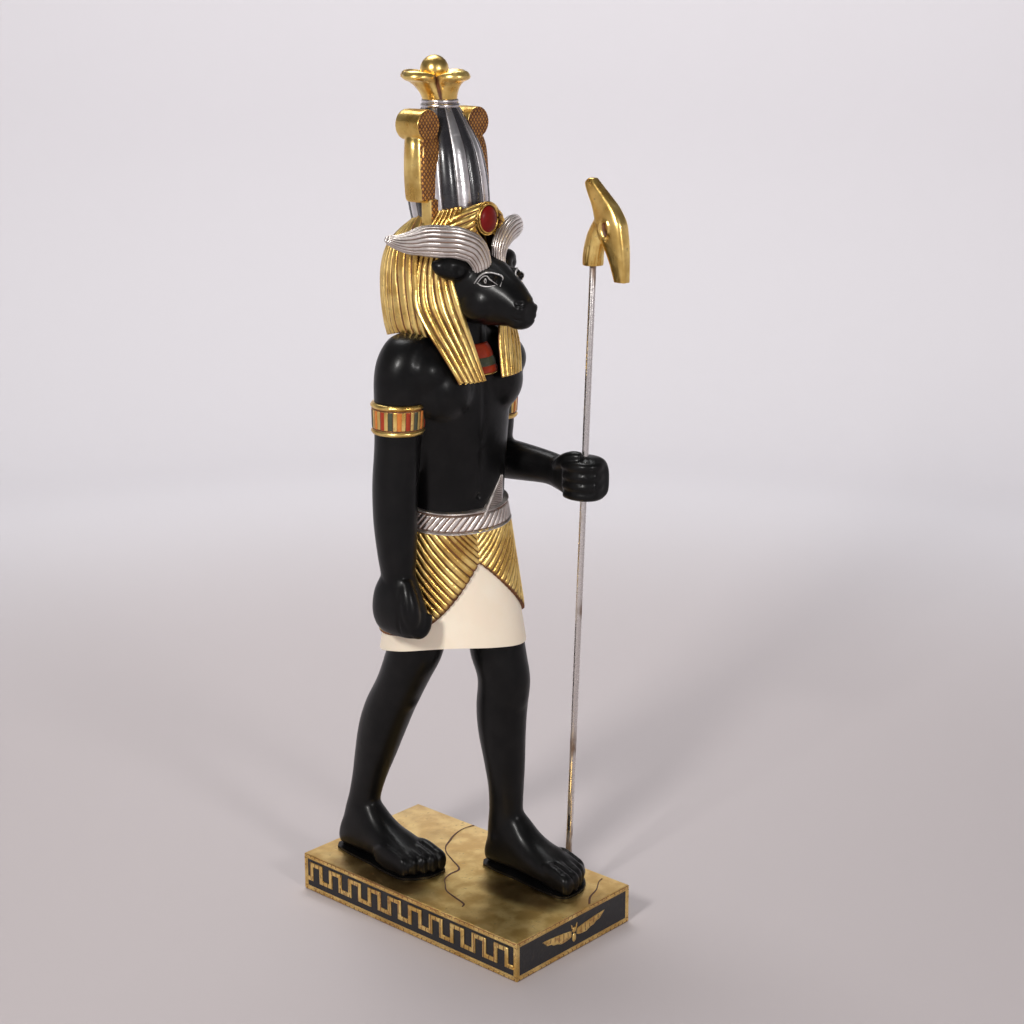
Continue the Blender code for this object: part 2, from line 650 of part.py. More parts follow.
def sceptre_head():
    """A slim beast's head with a square-cut ear end, looking down over the rod."""
    neck = upright("sceptre_head", [
        (ROD_X, -121, SCEPTRE_LOW, 12, 12, 12), (ROD_X, -122, 780, 11.5, 12.5, 13), (ROD_X, -127, 800, 10.5, 13, 13),
        (ROD_X, -133, 818, 8, 12, 9)], sides=14, spans=2)
    head = upright("sceptre_face", [
        (ROD_X, -116, SCEPTRE_HIGH, 5, 6, 6), (ROD_X, -120, 854, 6.5, 9, 9), (ROD_X, -128, 845, 7.5, 12, 12),
        (ROD_X, -139, 830, 9, 17, 15), (ROD_X, -147, 816, 10.5, 19, 20), (ROD_X, -151, 802, 10.5, 18, 19),
        (ROD_X, -156, 786, 9.5, 15, 15), (ROD_X, -160, 768, 8, 12, 11), (ROD_X, -164, 748, 6.5, 8.5, 8.5)],
        sides=14, spans=1, power=2.3)
    eyes = [pebble("sceptre_eye", ROD_X + side * 9.5, -148, 809, 3, 6, 8, 8, 6) for side in (-1, 1)]
    bpy.context.view_layer.update()
    combine(neck, [head, *eyes])
    at_sole, at_head, ahead = rod_line()
    socket = bar("rod_socket", at_head - ahead * 0.02, at_head + ahead * (ROD_TOP_DEPTH + TOUCH_GAP), BORE_RADIUS)
    bpy.context.view_layer.update()
    combine(neck, [socket], "DIFFERENCE")
    tidy(neck)
    paint(neck, "gold_leaf_head", (0.72, 0.48, 0.16), 0.32, 1.0)
    return neck


# Plinth

def meander(side):
    """A raised battlement line along one long side."""
    low, high = RIM_HEIGHT, PLINTH_HEIGHT - RIM_HEIGHT
    crest = low + (high - low) * 0.86
    trough = low + (high - low) * 0.26
    run = PLINTH_LENGTH - 2 * POST_WIDTH
    pitch = run / MEANDER_UNITS
    half = MEANDER_STROKE / 2
    start = -run / 2
    line = []
    for k in range(MEANDER_UNITS):
        y = start + k * pitch
        line += [(y, trough), (y + pitch * 0.30, trough), (y + pitch * 0.30, crest), (y + pitch * 0.80, crest),
                 (y + pitch * 0.80, trough)]
    line.append((start + run, trough))
    above, below = [], []
    for i, (y, z) in enumerate(line):
        turn_up = 0 < i < len(line) - 1 and z == trough and line[i + 1][1] == crest
        turn_down = 0 < i and z == trough and line[i - 1][1] == crest
        if z == crest:
            shift = half if line[i - 1][1] == trough else -half
            above.append((y - shift, z + half))
            below.append((y + shift, z - half))
        elif turn_up:
            above.append((y - half, z + half))
            below.append((y + half, z - half))
        elif turn_down:
            above.append((y + half, z + half))
            below.append((y - half, z - half))
        elif i in (0, len(line) - 1):
            above.append((y, z + half))
            below.append((y, z - half))
    face = PLINTH_WIDTH / 2
    outline = above + below[::-1]
    rings = [[Vector((side * x, y, z)) for y, z in outline] for x in (face - PANEL_DEPTH - 0.001, face)]
    return skin("meander", rings)


def emblem(end):
    """A disc between two stepped wings, with a short tail."""
    face = PLINTH_LENGTH / 2
    middle = PLINTH_HEIGHT / 2
    height = PLINTH_HEIGHT - 2 * RIM_HEIGHT
    half = EMBLEM_SPAN / 2
    depth = (face - PANEL_DEPTH - 0.001, face - 0.0003)
    forms = []
    for side in (-1, 1):
        for step, (reach, top, bottom) in enumerate(((1.0, 0.26, 0.06), (0.86, 0.06, -0.10), (0.68, -0.10, -0.25))):
            corners = [(0.12 * half, middle + height * (top - 0.06)), (reach * half * 0.9, middle + height * top),
                       (reach * half, middle + height * (top - 0.02)), (reach * half * 0.94, middle + height * bottom),
                       (0.12 * half, middle + height * (bottom - 0.03))]
            rings = [[Vector((side * x, end * (y - 0.0002 * step), z)) for x, z in corners] for y in depth]
            forms.append(skin("wing", rings))
    disc = [[Vector((0.1 * half * math.cos(a), end * y, middle + height * 0.02 + 0.1 * half * math.sin(a)))
             for a in (2 * math.pi * k / 12 for k in range(12))] for y in (depth[0], face)]
    tail = [[Vector((x * half, end * y, middle + z * height)) for x, z in
             ((-0.05, 0), (0.05, 0), (0.11, -0.36), (-0.11, -0.36))] for y in depth]
    return forms + [skin("emblem_disc", disc), skin("emblem_tail", tail)]


def plinth():
    half_w, half_l = PLINTH_WIDTH / 2, PLINTH_LENGTH / 2
    body = block("plinth", (-half_w, -half_l, 0), (half_w, half_l, PLINTH_HEIGHT))
    low, high = RIM_HEIGHT, PLINTH_HEIGHT - RIM_HEIGHT
    cuts = []
    for side in (-1, 1):
        inside, outside = side * (half_w - PANEL_DEPTH), side * (half_w + 0.01)
        cuts.append(block("long_panel", (min(inside, outside), -half_l + POST_WIDTH, low),
                          (max(inside, outside), half_l - POST_WIDTH, high)))
        inside, outside = side * (half_l - PANEL_DEPTH), side * (half_l + 0.01)
        cuts.append(block("end_panel", (-half_w + POST_WIDTH, min(inside, outside), low),
                          (half_w - POST_WIDTH, max(inside, outside), high)))
    bpy.context.view_layer.update()
    combine(body, cuts, "DIFFERENCE")
    raised = [meander(-1), meander(1), *emblem(-1), *emblem(1)]
    bpy.context.view_layer.update()
    combine(body, raised)
    at_sole, at_head, ahead = rod_line()
    hole = bar("rod_hole", at_sole - ahead * (ROD_FOOT_DEPTH + TOUCH_GAP), at_sole + ahead * 0.01, BORE_RADIUS)
    bpy.context.view_layer.update()
    combine(body, [hole], "DIFFERENCE")
    tidy(body)
    paint(body, "gold_leaf_plinth", (0.66, 0.45, 0.16), 0.4, 1.0)
    return body


for old in list(bpy.data.objects):
    bpy.data.objects.remove(old)

plinth()
figure()
rod()
sceptre_head()
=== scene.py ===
"""Striding ram-headed figure with a tall crown and a long sceptre on a low gilt plinth."""
from math import atan2, copysign, cos, exp, floor, pi, radians, sin, tanh

import bmesh
import bpy
import numpy as np
from mathutils import Matrix, Vector
from mathutils.bvhtree import BVHTree


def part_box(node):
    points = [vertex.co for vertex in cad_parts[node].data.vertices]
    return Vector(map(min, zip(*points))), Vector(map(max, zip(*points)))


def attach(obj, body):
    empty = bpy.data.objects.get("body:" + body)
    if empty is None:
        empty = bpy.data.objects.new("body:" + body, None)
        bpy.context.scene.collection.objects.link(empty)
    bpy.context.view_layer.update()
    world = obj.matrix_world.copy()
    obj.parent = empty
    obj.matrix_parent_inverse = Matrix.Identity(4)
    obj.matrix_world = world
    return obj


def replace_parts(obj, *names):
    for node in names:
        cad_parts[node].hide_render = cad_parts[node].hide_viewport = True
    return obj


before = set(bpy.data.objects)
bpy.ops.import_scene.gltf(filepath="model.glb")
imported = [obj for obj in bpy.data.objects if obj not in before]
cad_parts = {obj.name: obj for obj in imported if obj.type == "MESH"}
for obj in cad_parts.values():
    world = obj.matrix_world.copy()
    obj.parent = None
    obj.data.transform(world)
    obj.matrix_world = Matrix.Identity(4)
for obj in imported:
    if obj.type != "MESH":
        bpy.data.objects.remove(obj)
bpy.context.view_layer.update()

# Plinth block. Cast resin with gold leaf rubbed over a red-brown ground, a black sunk panel in each side.
# The gilt rims carry small cut marks where the sheets of leaf meet.
plinth_low, plinth_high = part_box("plinth")
panel_sink = 0.0016
rim = 0.0066
mark_pitch = 0.0080
marks_from_x, marks_from_y, mark_level = 0.1030, 0.1830, 0.025
# Two spots on the gilt top, beside the feet, where a painted reflection of the black figure darkens the
# leaf.
figure_reflection_spots = ((-0.088, 0.060, 0.034, 0.095), (-0.004, -0.100, 0.030, 0.070))
rim_lines = (0.0188, 0.0240)
sharp_fold = 1.2


class Tint:
    """A socket in a finish. Arithmetic on it adds Math nodes, and node() adds a node of any other kind."""

    def __init__(self, tree, socket=None):
        self.tree = tree
        self.socket = socket

    def node(self, kind, settings=None, inputs=None, out=0):
        made = self.tree.nodes.new("ShaderNode" + kind)
        for key, value in (settings or {}).items():
            setattr(made, key, value)
        for key, value in (inputs or {}).items():
            if isinstance(value, Tint):
                self.tree.links.new(value.socket, made.inputs[key])
            else:
                made.inputs[key].default_value = value
        return Tint(self.tree, made.outputs[out])

    def maths(self, operation, *others):
        return self.node("Math", {"operation": operation}, dict(enumerate((self, *others))))

    def __add__(self, other):
        return self.maths("ADD", other)

    __radd__ = __add__

    def __mul__(self, other):
        return self.maths("MULTIPLY", other)

    def __sub__(self, other):
        return self.maths("SUBTRACT", other)

    def __rsub__(self, other):
        return self.node("Math", {"operation": "SUBTRACT"}, {0: other, 1: self})

    def ramp(self, low, high):
        """0 below low, 1 above high, and an even curve between them."""
        inputs = {0: self, 1: low, 2: high, 3: 0.0, 4: 1.0}
        return self.node("MapRange", {"interpolation_type": "SMOOTHSTEP"}, inputs)

    def mix(self, first, second):
        """The first colour where this is 0, the second where it is 1."""
        inputs = {0: self, 6: first, 7: second}
        for key in (6, 7):
            if not isinstance(inputs[key], Tint):
                inputs[key] = (*inputs[key], 1.0)
        return self.node("Mix", {"data_type": "RGBA"}, inputs, out=2)

    def place(self):
        return self.node("TexCoord", out=3)

    def axes(self):
        split = self.node("SeparateXYZ", None, {0: self.place()})
        return [Tint(self.tree, socket) for socket in split.socket.node.outputs]

    def cloud(self, scale, detail=3.0, stretch=None):
        """Noise of a size per metre, longer along the axes where stretch is under 1."""
        spot = self.place()
        if stretch:
            spot = self.node("Mapping", None, {0: spot, 3: stretch})
        return self.node("TexNoise", None, {"Vector": spot, "Scale": scale, "Detail": detail})

    def carved(self):
        """How deep in a carved groove a spot lies, 0 to 1, as stored on the mesh."""
        return self.node("Attribute", {"attribute_name": "groove"}, out=2)

    def relief(self, height, depth):
        return self.node("Bump", None, {"Strength": 1.0, "Distance": depth, "Height": height})


def new_finish(name):
    material = bpy.data.materials.new(name)
    material.use_nodes = True
    return material, Tint(material.node_tree)


def lay(material, **values):
    shader = material.node_tree.nodes["Principled BSDF"]
    for key, value in values.items():
        socket = shader.inputs[key.replace("_", " ")]
        if isinstance(value, Tint):
            material.node_tree.links.new(value.socket, socket)
        else:
            socket.default_value = (*value, 1.0) if isinstance(value, tuple) else value
    return material


def gilding(name, pale, deep, ground, rough, wear=0.35, marks=False):
    """Metal leaf in patches of two tones, rubbed thin in spots, with a dark glaze in the grooves that is
    deepened and widened as painted shade.
    """
    material, tint = new_finish(name)
    patches = tint.cloud(38, 5)
    washed = tint.cloud(16, 3).ramp(0.50, 0.72) * wear
    leaf = washed.mix(patches.ramp(0.35, 0.65).mix(deep, pale), [(a + b) / 2 for a, b in zip(deep, ground)])
    specks = tint.cloud(330, 4)
    # The groove mask is a real brown glaze, deepened and widened to paint the shade in the grooves, shown in
    # the ground colour.
    glaze_and_groove_shade = (tint.carved() + (tint.cloud(90, 4) - 0.5) * wear * 1.4 + (specks - 0.5) * 0.3).ramp(0.26, 0.74)
    rubbed = (tint.cloud(140, 6) + patches * 0.35).ramp(0.78, 0.92) * wear
    ground_and_shade_mask = glaze_and_groove_shade.maths("MAXIMUM", rubbed)
    if marks:
        x, y, z = tint.axes()
        on_side = (x.maths("ABSOLUTE") - marks_from_x).ramp(0.0, 0.0012)
        on_end = (y.maths("ABSOLUTE") - marks_from_y).ramp(0.0, 0.0012)
        along = y * on_side + x * (on_end * (1.0 - on_side))
        wobble = (tint.cloud(70, 2) - 0.5) * 0.35
        beat = ((along * (1 / mark_pitch)) + wobble).maths("FRACT") - 0.5
        line = 1.0 - beat.maths("ABSOLUTE").ramp(0.05, 0.13)
        level = (z - mark_level).maths("ABSOLUTE") + (tint.cloud(60, 2) - 0.5) * 0.0012
        for edge in rim_lines:
            line = line.maths("MAXIMUM", 1.0 - (level - edge).maths("ABSOLUTE").ramp(0.0002, 0.0009))
        line = line * tint.cloud(150, 2).ramp(0.30, 0.46)
        line = line.maths("MAXIMUM", tint.cloud(120, 4).ramp(0.54, 0.68) * 0.7)
        line = line * on_side.maths("MAXIMUM", on_end)
        ground_and_shade_mask = ground_and_shade_mask.maths("MAXIMUM", line * 0.95)
        # The two dark patches on the gilt top beside the feet are painted reflections of the black figure in
        # the leaf.
        for middle_x, middle_y, reach_x, reach_y in figure_reflection_spots:
            across, ahead = (x - middle_x) * (1 / reach_x), (y - middle_y) * (1 / reach_y)
            figure_reflection = 1.0 - (across * across + ahead * ahead + (tint.cloud(35, 4) - 0.5) * 0.7).ramp(0.1, 1.3)
            leaf = (figure_reflection * z.ramp(0.047, 0.0495) * 0.80).mix(leaf, (0.14, 0.075, 0.030))
    ground_and_shade_colour = tint.cloud(60, 3).ramp(0.3, 0.7).mix(ground, [c * 2.4 for c in ground])
    lay(material, Base_Color=ground_and_shade_mask.mix(leaf, ground_and_shade_colour),
        Metallic=1.0 - ground_and_shade_mask * 0.85, Roughness=rough + patches * 0.16 + ground_and_shade_mask * 0.2,
        Normal=tint.relief(specks * 0.5 + tint.cloud(120, 3) - ground_and_shade_mask * 0.8, 0.0003))
    return material


gold = gilding("gold_leaf", (1.0, 0.73, 0.26), (0.70, 0.43, 0.11), (0.080, 0.026, 0.007), 0.21, 0.45)
plinth_gold = gilding("plinth_leaf", (0.98, 0.72, 0.28), (0.74, 0.47, 0.14), (0.11, 0.035, 0.010), 0.24,
    0.4, marks=True)

panel_black, tint = new_finish("panel_black")
lay(panel_black,
    Base_Color=tint.cloud(150, 4).ramp(0.55, 0.8).mix((0.010, 0.010, 0.012), (0.035, 0.026, 0.018)),
    Roughness=0.34 + tint.cloud(200, 3) * 0.2, Normal=tint.relief(tint.cloud(300, 3), 0.0002))


def smooth_mesh(name, bm, *materials):
    mesh = bpy.data.meshes.new(name)
    bm.to_mesh(mesh)
    bm.free()
    mesh.shade_smooth()
    for material in materials:
        mesh.materials.append(material)
    made = bpy.data.objects.new(name, mesh)
    bpy.context.scene.collection.objects.link(made)
    return made


def keep(name, bm, *materials, smooth=180, slot="figure_black"):
    """The finished piece: on the root body, shaded smooth up to an angle in degrees."""
    piece = smooth_mesh(name, bm, *materials)
    if smooth < 180:
        piece.data.set_sharp_from_angle(angle=radians(smooth))
    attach(piece, "root")
    return piece


def outwards(bm):
    """The same mesh, its faces turned outwards."""
    bmesh.ops.recalc_face_normals(bm, faces=bm.faces)
    return bm


def soften(bm, edges, width, segments=2):
    bmesh.ops.bevel(bm, geom=edges, offset=width, segments=segments, profile=0.5,
                    affect="EDGES", material=-1)


bm = bmesh.new()
bmesh.ops.create_cube(bm, size=1.0)
bmesh.ops.scale(bm, vec=plinth_high - plinth_low, verts=bm.verts)
bmesh.ops.translate(bm, vec=(plinth_low + plinth_high) / 2, verts=bm.verts)
sides = [face for face in bm.faces if abs(face.normal.z) < 0.5]
bmesh.ops.inset_individual(bm, faces=sides, thickness=rim, depth=-panel_sink, use_even_offset=True)
for face in sides:
    face.material_index = 1
outer = [edge for edge in bm.edges if edge.calc_face_angle(0) > sharp_fold
         and all(f.material_index == 0 for f in edge.link_faces)]
soften(bm, outer, 0.0026, 4)
plinth_block = keep("plinth_block", outwards(bm), plinth_gold, panel_black, smooth=35, slot="plinth_gold")
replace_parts(plinth_block, "plinth")

# Battlement lines. A raised gilt line runs up and down along each long side, cast with the plinth.
# It lies in the black panel and stands level with the rims.
line_width = 0.0054
battlements = 10
crest, trough = 0.0372, 0.0172
below_rim = 0.0002


def verts_of(grown):
    return [vert for vert in grown["geom"] if isinstance(vert, bmesh.types.BMVert)]


for side, name in ((-1, "battlement_right"), (1, "battlement_left")):
    reach = plinth_high.y - rim
    pitch = 2 * reach / battlements
    half = line_width / 2
    upper, lower = [(-reach, trough + half)], [(-reach, trough - half)]
    for k in range(battlements):
        rise = -reach + k * pitch + pitch * 0.30
        fall = rise + pitch * 0.49
        for line, out in ((upper, half), (lower, -half)):
            line += [(rise - out, trough + out), (rise - out, crest + out),
                     (fall + out, crest + out), (fall + out, trough + out)]
    upper.append((reach, trough + half))
    lower.append((reach, trough - half))
    bm = bmesh.new()
    inner = side * (plinth_high.x - panel_sink - 2 * below_rim)
    last = len(upper) - 1
    for vert in bmesh.ops.create_grid(bm, x_segments=1, y_segments=last, size=0.5)["verts"]:
        y, z = (upper if vert.co.x > 0 else lower)[round((vert.co.y + 0.5) * last)]
        vert.co = (inner, y, z)
    grown = bmesh.ops.extrude_face_region(bm, geom=list(bm.faces), use_keep_orig=True)
    bmesh.ops.translate(bm, vec=(side * (panel_sink + below_rim), 0, 0), verts=verts_of(grown))
    outwards(bm)
    face_x = side * (plinth_high.x - below_rim)
    front = [edge for edge in bm.edges if edge.calc_face_angle(0) > sharp_fold
             and all(abs(vert.co.x - face_x) < 1e-6 for vert in edge.verts)]
    soften(bm, front, 0.0007, 2)
    keep(name, bm, plinth_gold, smooth=50, slot="plinth_gold")

# Winged emblems. A small sun between two spread wings in low gilt relief on the middle of each end panel.
# Each wing is three rows of feathers, and a short tail hangs below.
wing_reach = 0.058
feather_rows = ((1.0, 0.0080, 0.0012, 5), (0.80, 0.0020, -0.0026, 5), (0.58, -0.0030, -0.0060, 4))
body_drops = (((-0.0001, 0.0072), (0.0001, -0.0002), 0.0078), ((0, -0.001), (0, -0.0125), 0.0070),
              ((-0.003, 0.004), (-0.0052, 0.0115), 0.0022), ((0.003, 0.004), (0.0052, 0.0115), 0.0022))


def lozenge(bm, start, end, width, deep, sides=10):
    """A long rounded drop from start to end, flattened on the panel."""
    ahead = end - start
    made = bmesh.ops.create_uvsphere(bm, u_segments=sides, v_segments=6, radius=0.5)["verts"]
    turn = atan2(ahead.z, ahead.x)
    c, s = cos(turn), sin(turn)
    for vert in made:
        run, across = vert.co.z * ahead.length, vert.co.x * width
        vert.co = (start + end) / 2 + Vector((run * c - across * s, vert.co.y * deep, run * s + across * c))


for end, name in ((-1, "winged_sun_front"), (1, "winged_sun_back")):
    bm = bmesh.new()
    face_y = end * (plinth_high.y - panel_sink)
    middle = (plinth_low.z + plinth_high.z) / 2
    for side in (-1, 1):
        for row, (far, lift, drop, count) in enumerate(feather_rows):
            for share in np.linspace(0, 1, count):
                root = Vector((side * 0.0045, face_y, middle + lift * 0.35 - share * 0.0028))
                out = side * wing_reach * (far - 0.13 * share)
                tip = Vector((out, face_y, middle + lift + (drop - lift) * share))
                lozenge(bm, root, tip, 0.0034, 0.0022 - 0.0003 * row)
    for *spots, width in body_drops:
        start, finish = (Vector((across, face_y, middle + up)) for across, up in spots)
        lozenge(bm, start, finish, width, 0.0030, 14)
    keep(name, bm, plinth_gold, smooth=40, slot="plinth_gold")

# Scribed lines. Two wavy lines are cut in the gilt top, between the feet and beside the toes.
# They show the red-brown ground, so they are set as fine dark beads level with the leaf.
scribed, tint = new_finish("scribed_ground")
lay(scribed, Base_Color=tint.cloud(300, 3).mix((0.04, 0.014, 0.006), (0.12, 0.045, 0.015)), Roughness=0.6)
figure_unit = 0.001
sole_level = plinth_high.z + 0.0003


def at(x, y, z):
    """A point of the figure in metres, from thousandths of its height counted up from its soles."""
    return Vector((x * figure_unit, y * figure_unit, sole_level + z * figure_unit))


def through(stations, share):
    """The station a share of the way along a smooth curve through all of them."""
    count = len(stations) - 1
    spot = min(max(share, 0.0), 1.0) * count
    i = min(int(spot), count - 1)
    t = spot - i
    b, c = stations[i], stations[i + 1]
    a = stations[i - 1] if i else [2 * p - q for p, q in zip(b, c)]
    d = stations[i + 2] if i + 2 <= count else [2 * q - p for p, q in zip(b, c)]
    return [0.5 * (2 * q + (r - p) * t + (2 * p - 5 * q + 4 * r - s) * t * t
                   + (3 * q - p - 3 * r + s) * t ** 3) for p, q, r, s in zip(a, b, c, d)]


def groove_layer(bm):
    return bm.verts.layers.float.get("groove") or bm.verts.layers.float.new("groove")


def press(bm, around, along, place, ends=True, seam=True):
    """A grid bent so that its point u, v lands on place(u, v), a point and how deep in a groove it lies."""
    groove = groove_layer(bm)
    bm.loops.layers.uv.verify()
    before = set(bm.verts)
    made = bmesh.ops.create_grid(bm, x_segments=around, y_segments=along, size=0.5, calc_uvs=True)["verts"]
    for vert in made:
        spot, depth = place(min(max(vert.co.x + 0.5, 0.0), 1.0), min(max(vert.co.y + 0.5, 0.0), 1.0))
        vert.co = spot
        vert[groove] = depth
    if seam:
        bmesh.ops.remove_doubles(bm, verts=made, dist=1e-6)
    if ends:
        new = [vert for vert in bm.verts if vert not in before]
        rims = {edge for vert in new for edge in vert.link_edges if edge.is_boundary}
        bmesh.ops.holes_fill(bm, edges=list(rims), sides=0)


def heading(track, v):
    """The way a track runs at v, a share of its length."""
    return (Vector(through(track, v + 0.02)[:3]) - Vector(through(track, v - 0.02)[:3])).normalized()


def cord(points, radii):
    """A round rod bent along points, with a radius at each, as a place for press."""
    track = [[*point, radius] for point, radius in zip(points, radii)]
    run = (Vector(points[-1]) - Vector(points[0])).normalized()
    steady = Vector((0, 0, 1)) if abs(run.z) < 0.7 else Vector((1, 0, 0))

    def place(u, v):
        spot = through(track, v)
        ahead = heading(track, v)
        side = ahead.cross(steady).normalized()
        other = ahead.cross(side)
        turn = 2 * pi * u
        return at(*(Vector(spot[:3]) + spot[3] * (cos(turn) * side + sin(turn) * other))), 0.0
    return place


bm = bmesh.new()
waves = ([(103, 79), (90, 82), (76, 81), (60, 76), (46, 69), (32, 62), (19, 49), (8, 28), (-5, 3), (-24, 1),
          (-38, -4), (-48, -14), (-60, -28), (-66, -48), (-71, -67), (-78, -72)],
         [(94, -149), (84, -152), (66, -163), (46, -170), (31, -181)])
for points in waves:
    track = [(x, y, 0.2) for x, y in points]
    press(bm, 6, 100, cord(track, [1.1 + 0.35 * sin(5 * k) for k in range(len(track))]))
bmesh.ops.scale(bm, vec=(1, 1, 0.4), space=Matrix.Translation((0, 0, -plinth_high.z)), verts=bm.verts)
keep("scribed_lines", bm, scribed, smooth=40, slot="plinth_gold")

# Legs. Cast with the feet as one piece, painted satin black, and bedded on the plinth by thin flat pads.
# The left leg stands forward; each foot has five toes with cut nails.
satin_black, tint = new_finish("satin_black")
lay(satin_black,
    Base_Color=tint.cloud(40, 3).ramp(0.35, 0.7).mix((0.0026, 0.0026, 0.0028), (0.0052, 0.0049, 0.0050)),
    Roughness=0.29 + tint.cloud(45, 3) * 0.12, Normal=tint.relief(tint.cloud(240, 2), 0.00010),
    Specular_IOR_Level=0.16, Coat_Weight=0.07, Coat_Roughness=0.16)


def rounded(turn, power):
    c, s = cos(turn), sin(turn)
    return copysign(abs(c) ** (2 / power), c), copysign(abs(s) ** (2 / power), s)


def hoops(stations, power=2.0, lying=False):
    """A form through upright stations (middle, half width, front, back and at times skew).

    Lying stations have the height above and below in place of front and back.
    """
    def place(u, v):
        x, y, z, wide, first, second, *skew = through(stations, v)
        c, s = rounded(2 * pi * u, power)
        if lying:
            return at(x + wide * c, y, z + (first if s > 0 else second) * s), 0.0
        lean = skew[0] * wide * c if skew else 0.0
        return at(x + wide * c, y + (second if s > 0 else first) * s - lean, z), 0.0
    return place


def lump(bm, x, y, z, wide, deep, tall):
    made = bmesh.ops.create_uvsphere(bm, u_segments=24, v_segments=14, radius=figure_unit)["verts"]
    bmesh.ops.scale(bm, vec=(wide, deep, tall), verts=made)
    bmesh.ops.translate(bm, vec=at(x, y, z), verts=made)


def carve(bm, cuts):
    """Sinks each cut, a line of points with a width and a depth, into the surface. Below 0 it is raised."""
    groove = groove_layer(bm)
    bm.normal_update()
    verts = list(bm.verts)
    spots = np.array([vert.co for vert in verts])
    normals = np.array([vert.normal for vert in verts])
    shift = np.zeros(len(verts))
    for points, width, depth in cuts:
        line = np.array([at(*point) for point in points])
        near = np.full(len(verts), np.inf)
        for a, b in zip(line, line[1:]) if len(line) > 1 else ((line[0], line[0]),):
            run = b - a
            share = np.clip((spots - a) @ run / max(run @ run, 1e-12), 0, 1)
            near = np.minimum(near, np.linalg.norm(spots - a - share[:, None] * run, axis=1))
        shift = shift + depth * figure_unit * np.exp(-(near / (width * figure_unit)) ** 2)
    deepest = max(depth for points, width, depth in cuts) * figure_unit
    for vert, normal, fall in zip(verts, normals, shift):
        vert.co -= Vector(normal * fall)
        vert[groove] = min(max(fall / deepest, 0.0), 1.0)


def blend(bm, grain, rounds):
    """The forms in bm as one skin of even grain, its joins eased over."""
    holder = smooth_mesh("blend", bm)
    fuse = holder.modifiers.new("fuse", "REMESH")
    fuse.mode = "VOXEL"
    fuse.voxel_size = grain * figure_unit
    ease = holder.modifiers.new("ease", "SMOOTH")
    ease.factor = 0.5
    ease.iterations = rounds
    bpy.context.view_layer.update()
    made = bmesh.new()
    made.from_mesh(holder.evaluated_get(bpy.context.evaluated_depsgraph_get()).to_mesh())
    bpy.data.objects.remove(holder)
    return made


legs = ((-1, (-46, 167), (-47, 12), [(-40, 28, 330, 31, 34, 36), (-42, 41, 288, 32, 36, 37),
    (-44, 58, 253, 30, 34, 34), (-45, 78, 215, 28, 33, 37), (-45, 93, 180, 27, 30, 36),
    (-45, 108, 140, 24, 26, 30), (-45, 120, 108, 20, 23, 25), (-45, 131, 78, 18, 23, 22),
    (-45, 138, 50, 19, 26, 24), (-45, 141, 20, 19, 26, 24)]),
    (1, (42, -8), (48, -153), [(38, -18, 330, 30, 34, 34), (40, -24, 283, 32, 36, 37),
    (42, -31, 250, 30, 34, 34), (42, -29, 212, 28, 32, 36), (42, -30, 178, 26, 29, 35),
    (42, -33, 140, 23, 26, 29), (42, -35, 108, 20, 23, 25), (42, -34, 78, 18, 24, 23),
    (42, -33, 50, 19, 27, 24), (42, -32, 20, 19, 27, 23)]))
foot_shape = ((0.00, 14, 13, 12), (0.05, 20, 18.5, 26), (0.14, 24, 21.5, 46), (0.26, 25, 22.5, 58),
    (0.36, 25, 23, 49), (0.46, 23, 24.5, 36), (0.56, 21, 26.5, 28), (0.66, 20, 28.5, 23),
    (0.76, 18, 29.5, 19), (0.85, 15, 29, 16), (0.92, 13, 27, 13))
sole_inner = ((-0.015, 11), (0.03, 19.5), (0.2, 23.5), (0.45, 26), (0.66, 30.5), (0.82, 32), (0.95, 32),
    (1.005, 25), (1.015, 10))
sole_outer = ((-0.015, 11), (0.03, 19.5), (0.2, 23.5), (0.45, 26), (0.66, 30.5), (0.82, 31.5), (0.88, 29),
    (0.95, 19), (1.005, 4))
toes = ((21, 9.6, 1.0), (7.5, 6.8, 0.995), (-4, 6.4, 0.965), (-15, 6.0, 0.925), (-25, 5.6, 0.875))
toe_shape = ((0.36, 20, 0.25, 6, 10), (0.29, 21, 0.75, 12, 16), (0.20, 20, 0.95, 15, 18),
    (0.09, 17, 1.0, 13.5, 15.5), (0.02, 15.5, 0.98, 11, 14), (-0.008, 14.5, 0.62, 6.5, 10))
nail_turns = (0.2, 1.0, 1.57, 2.14, 2.94)

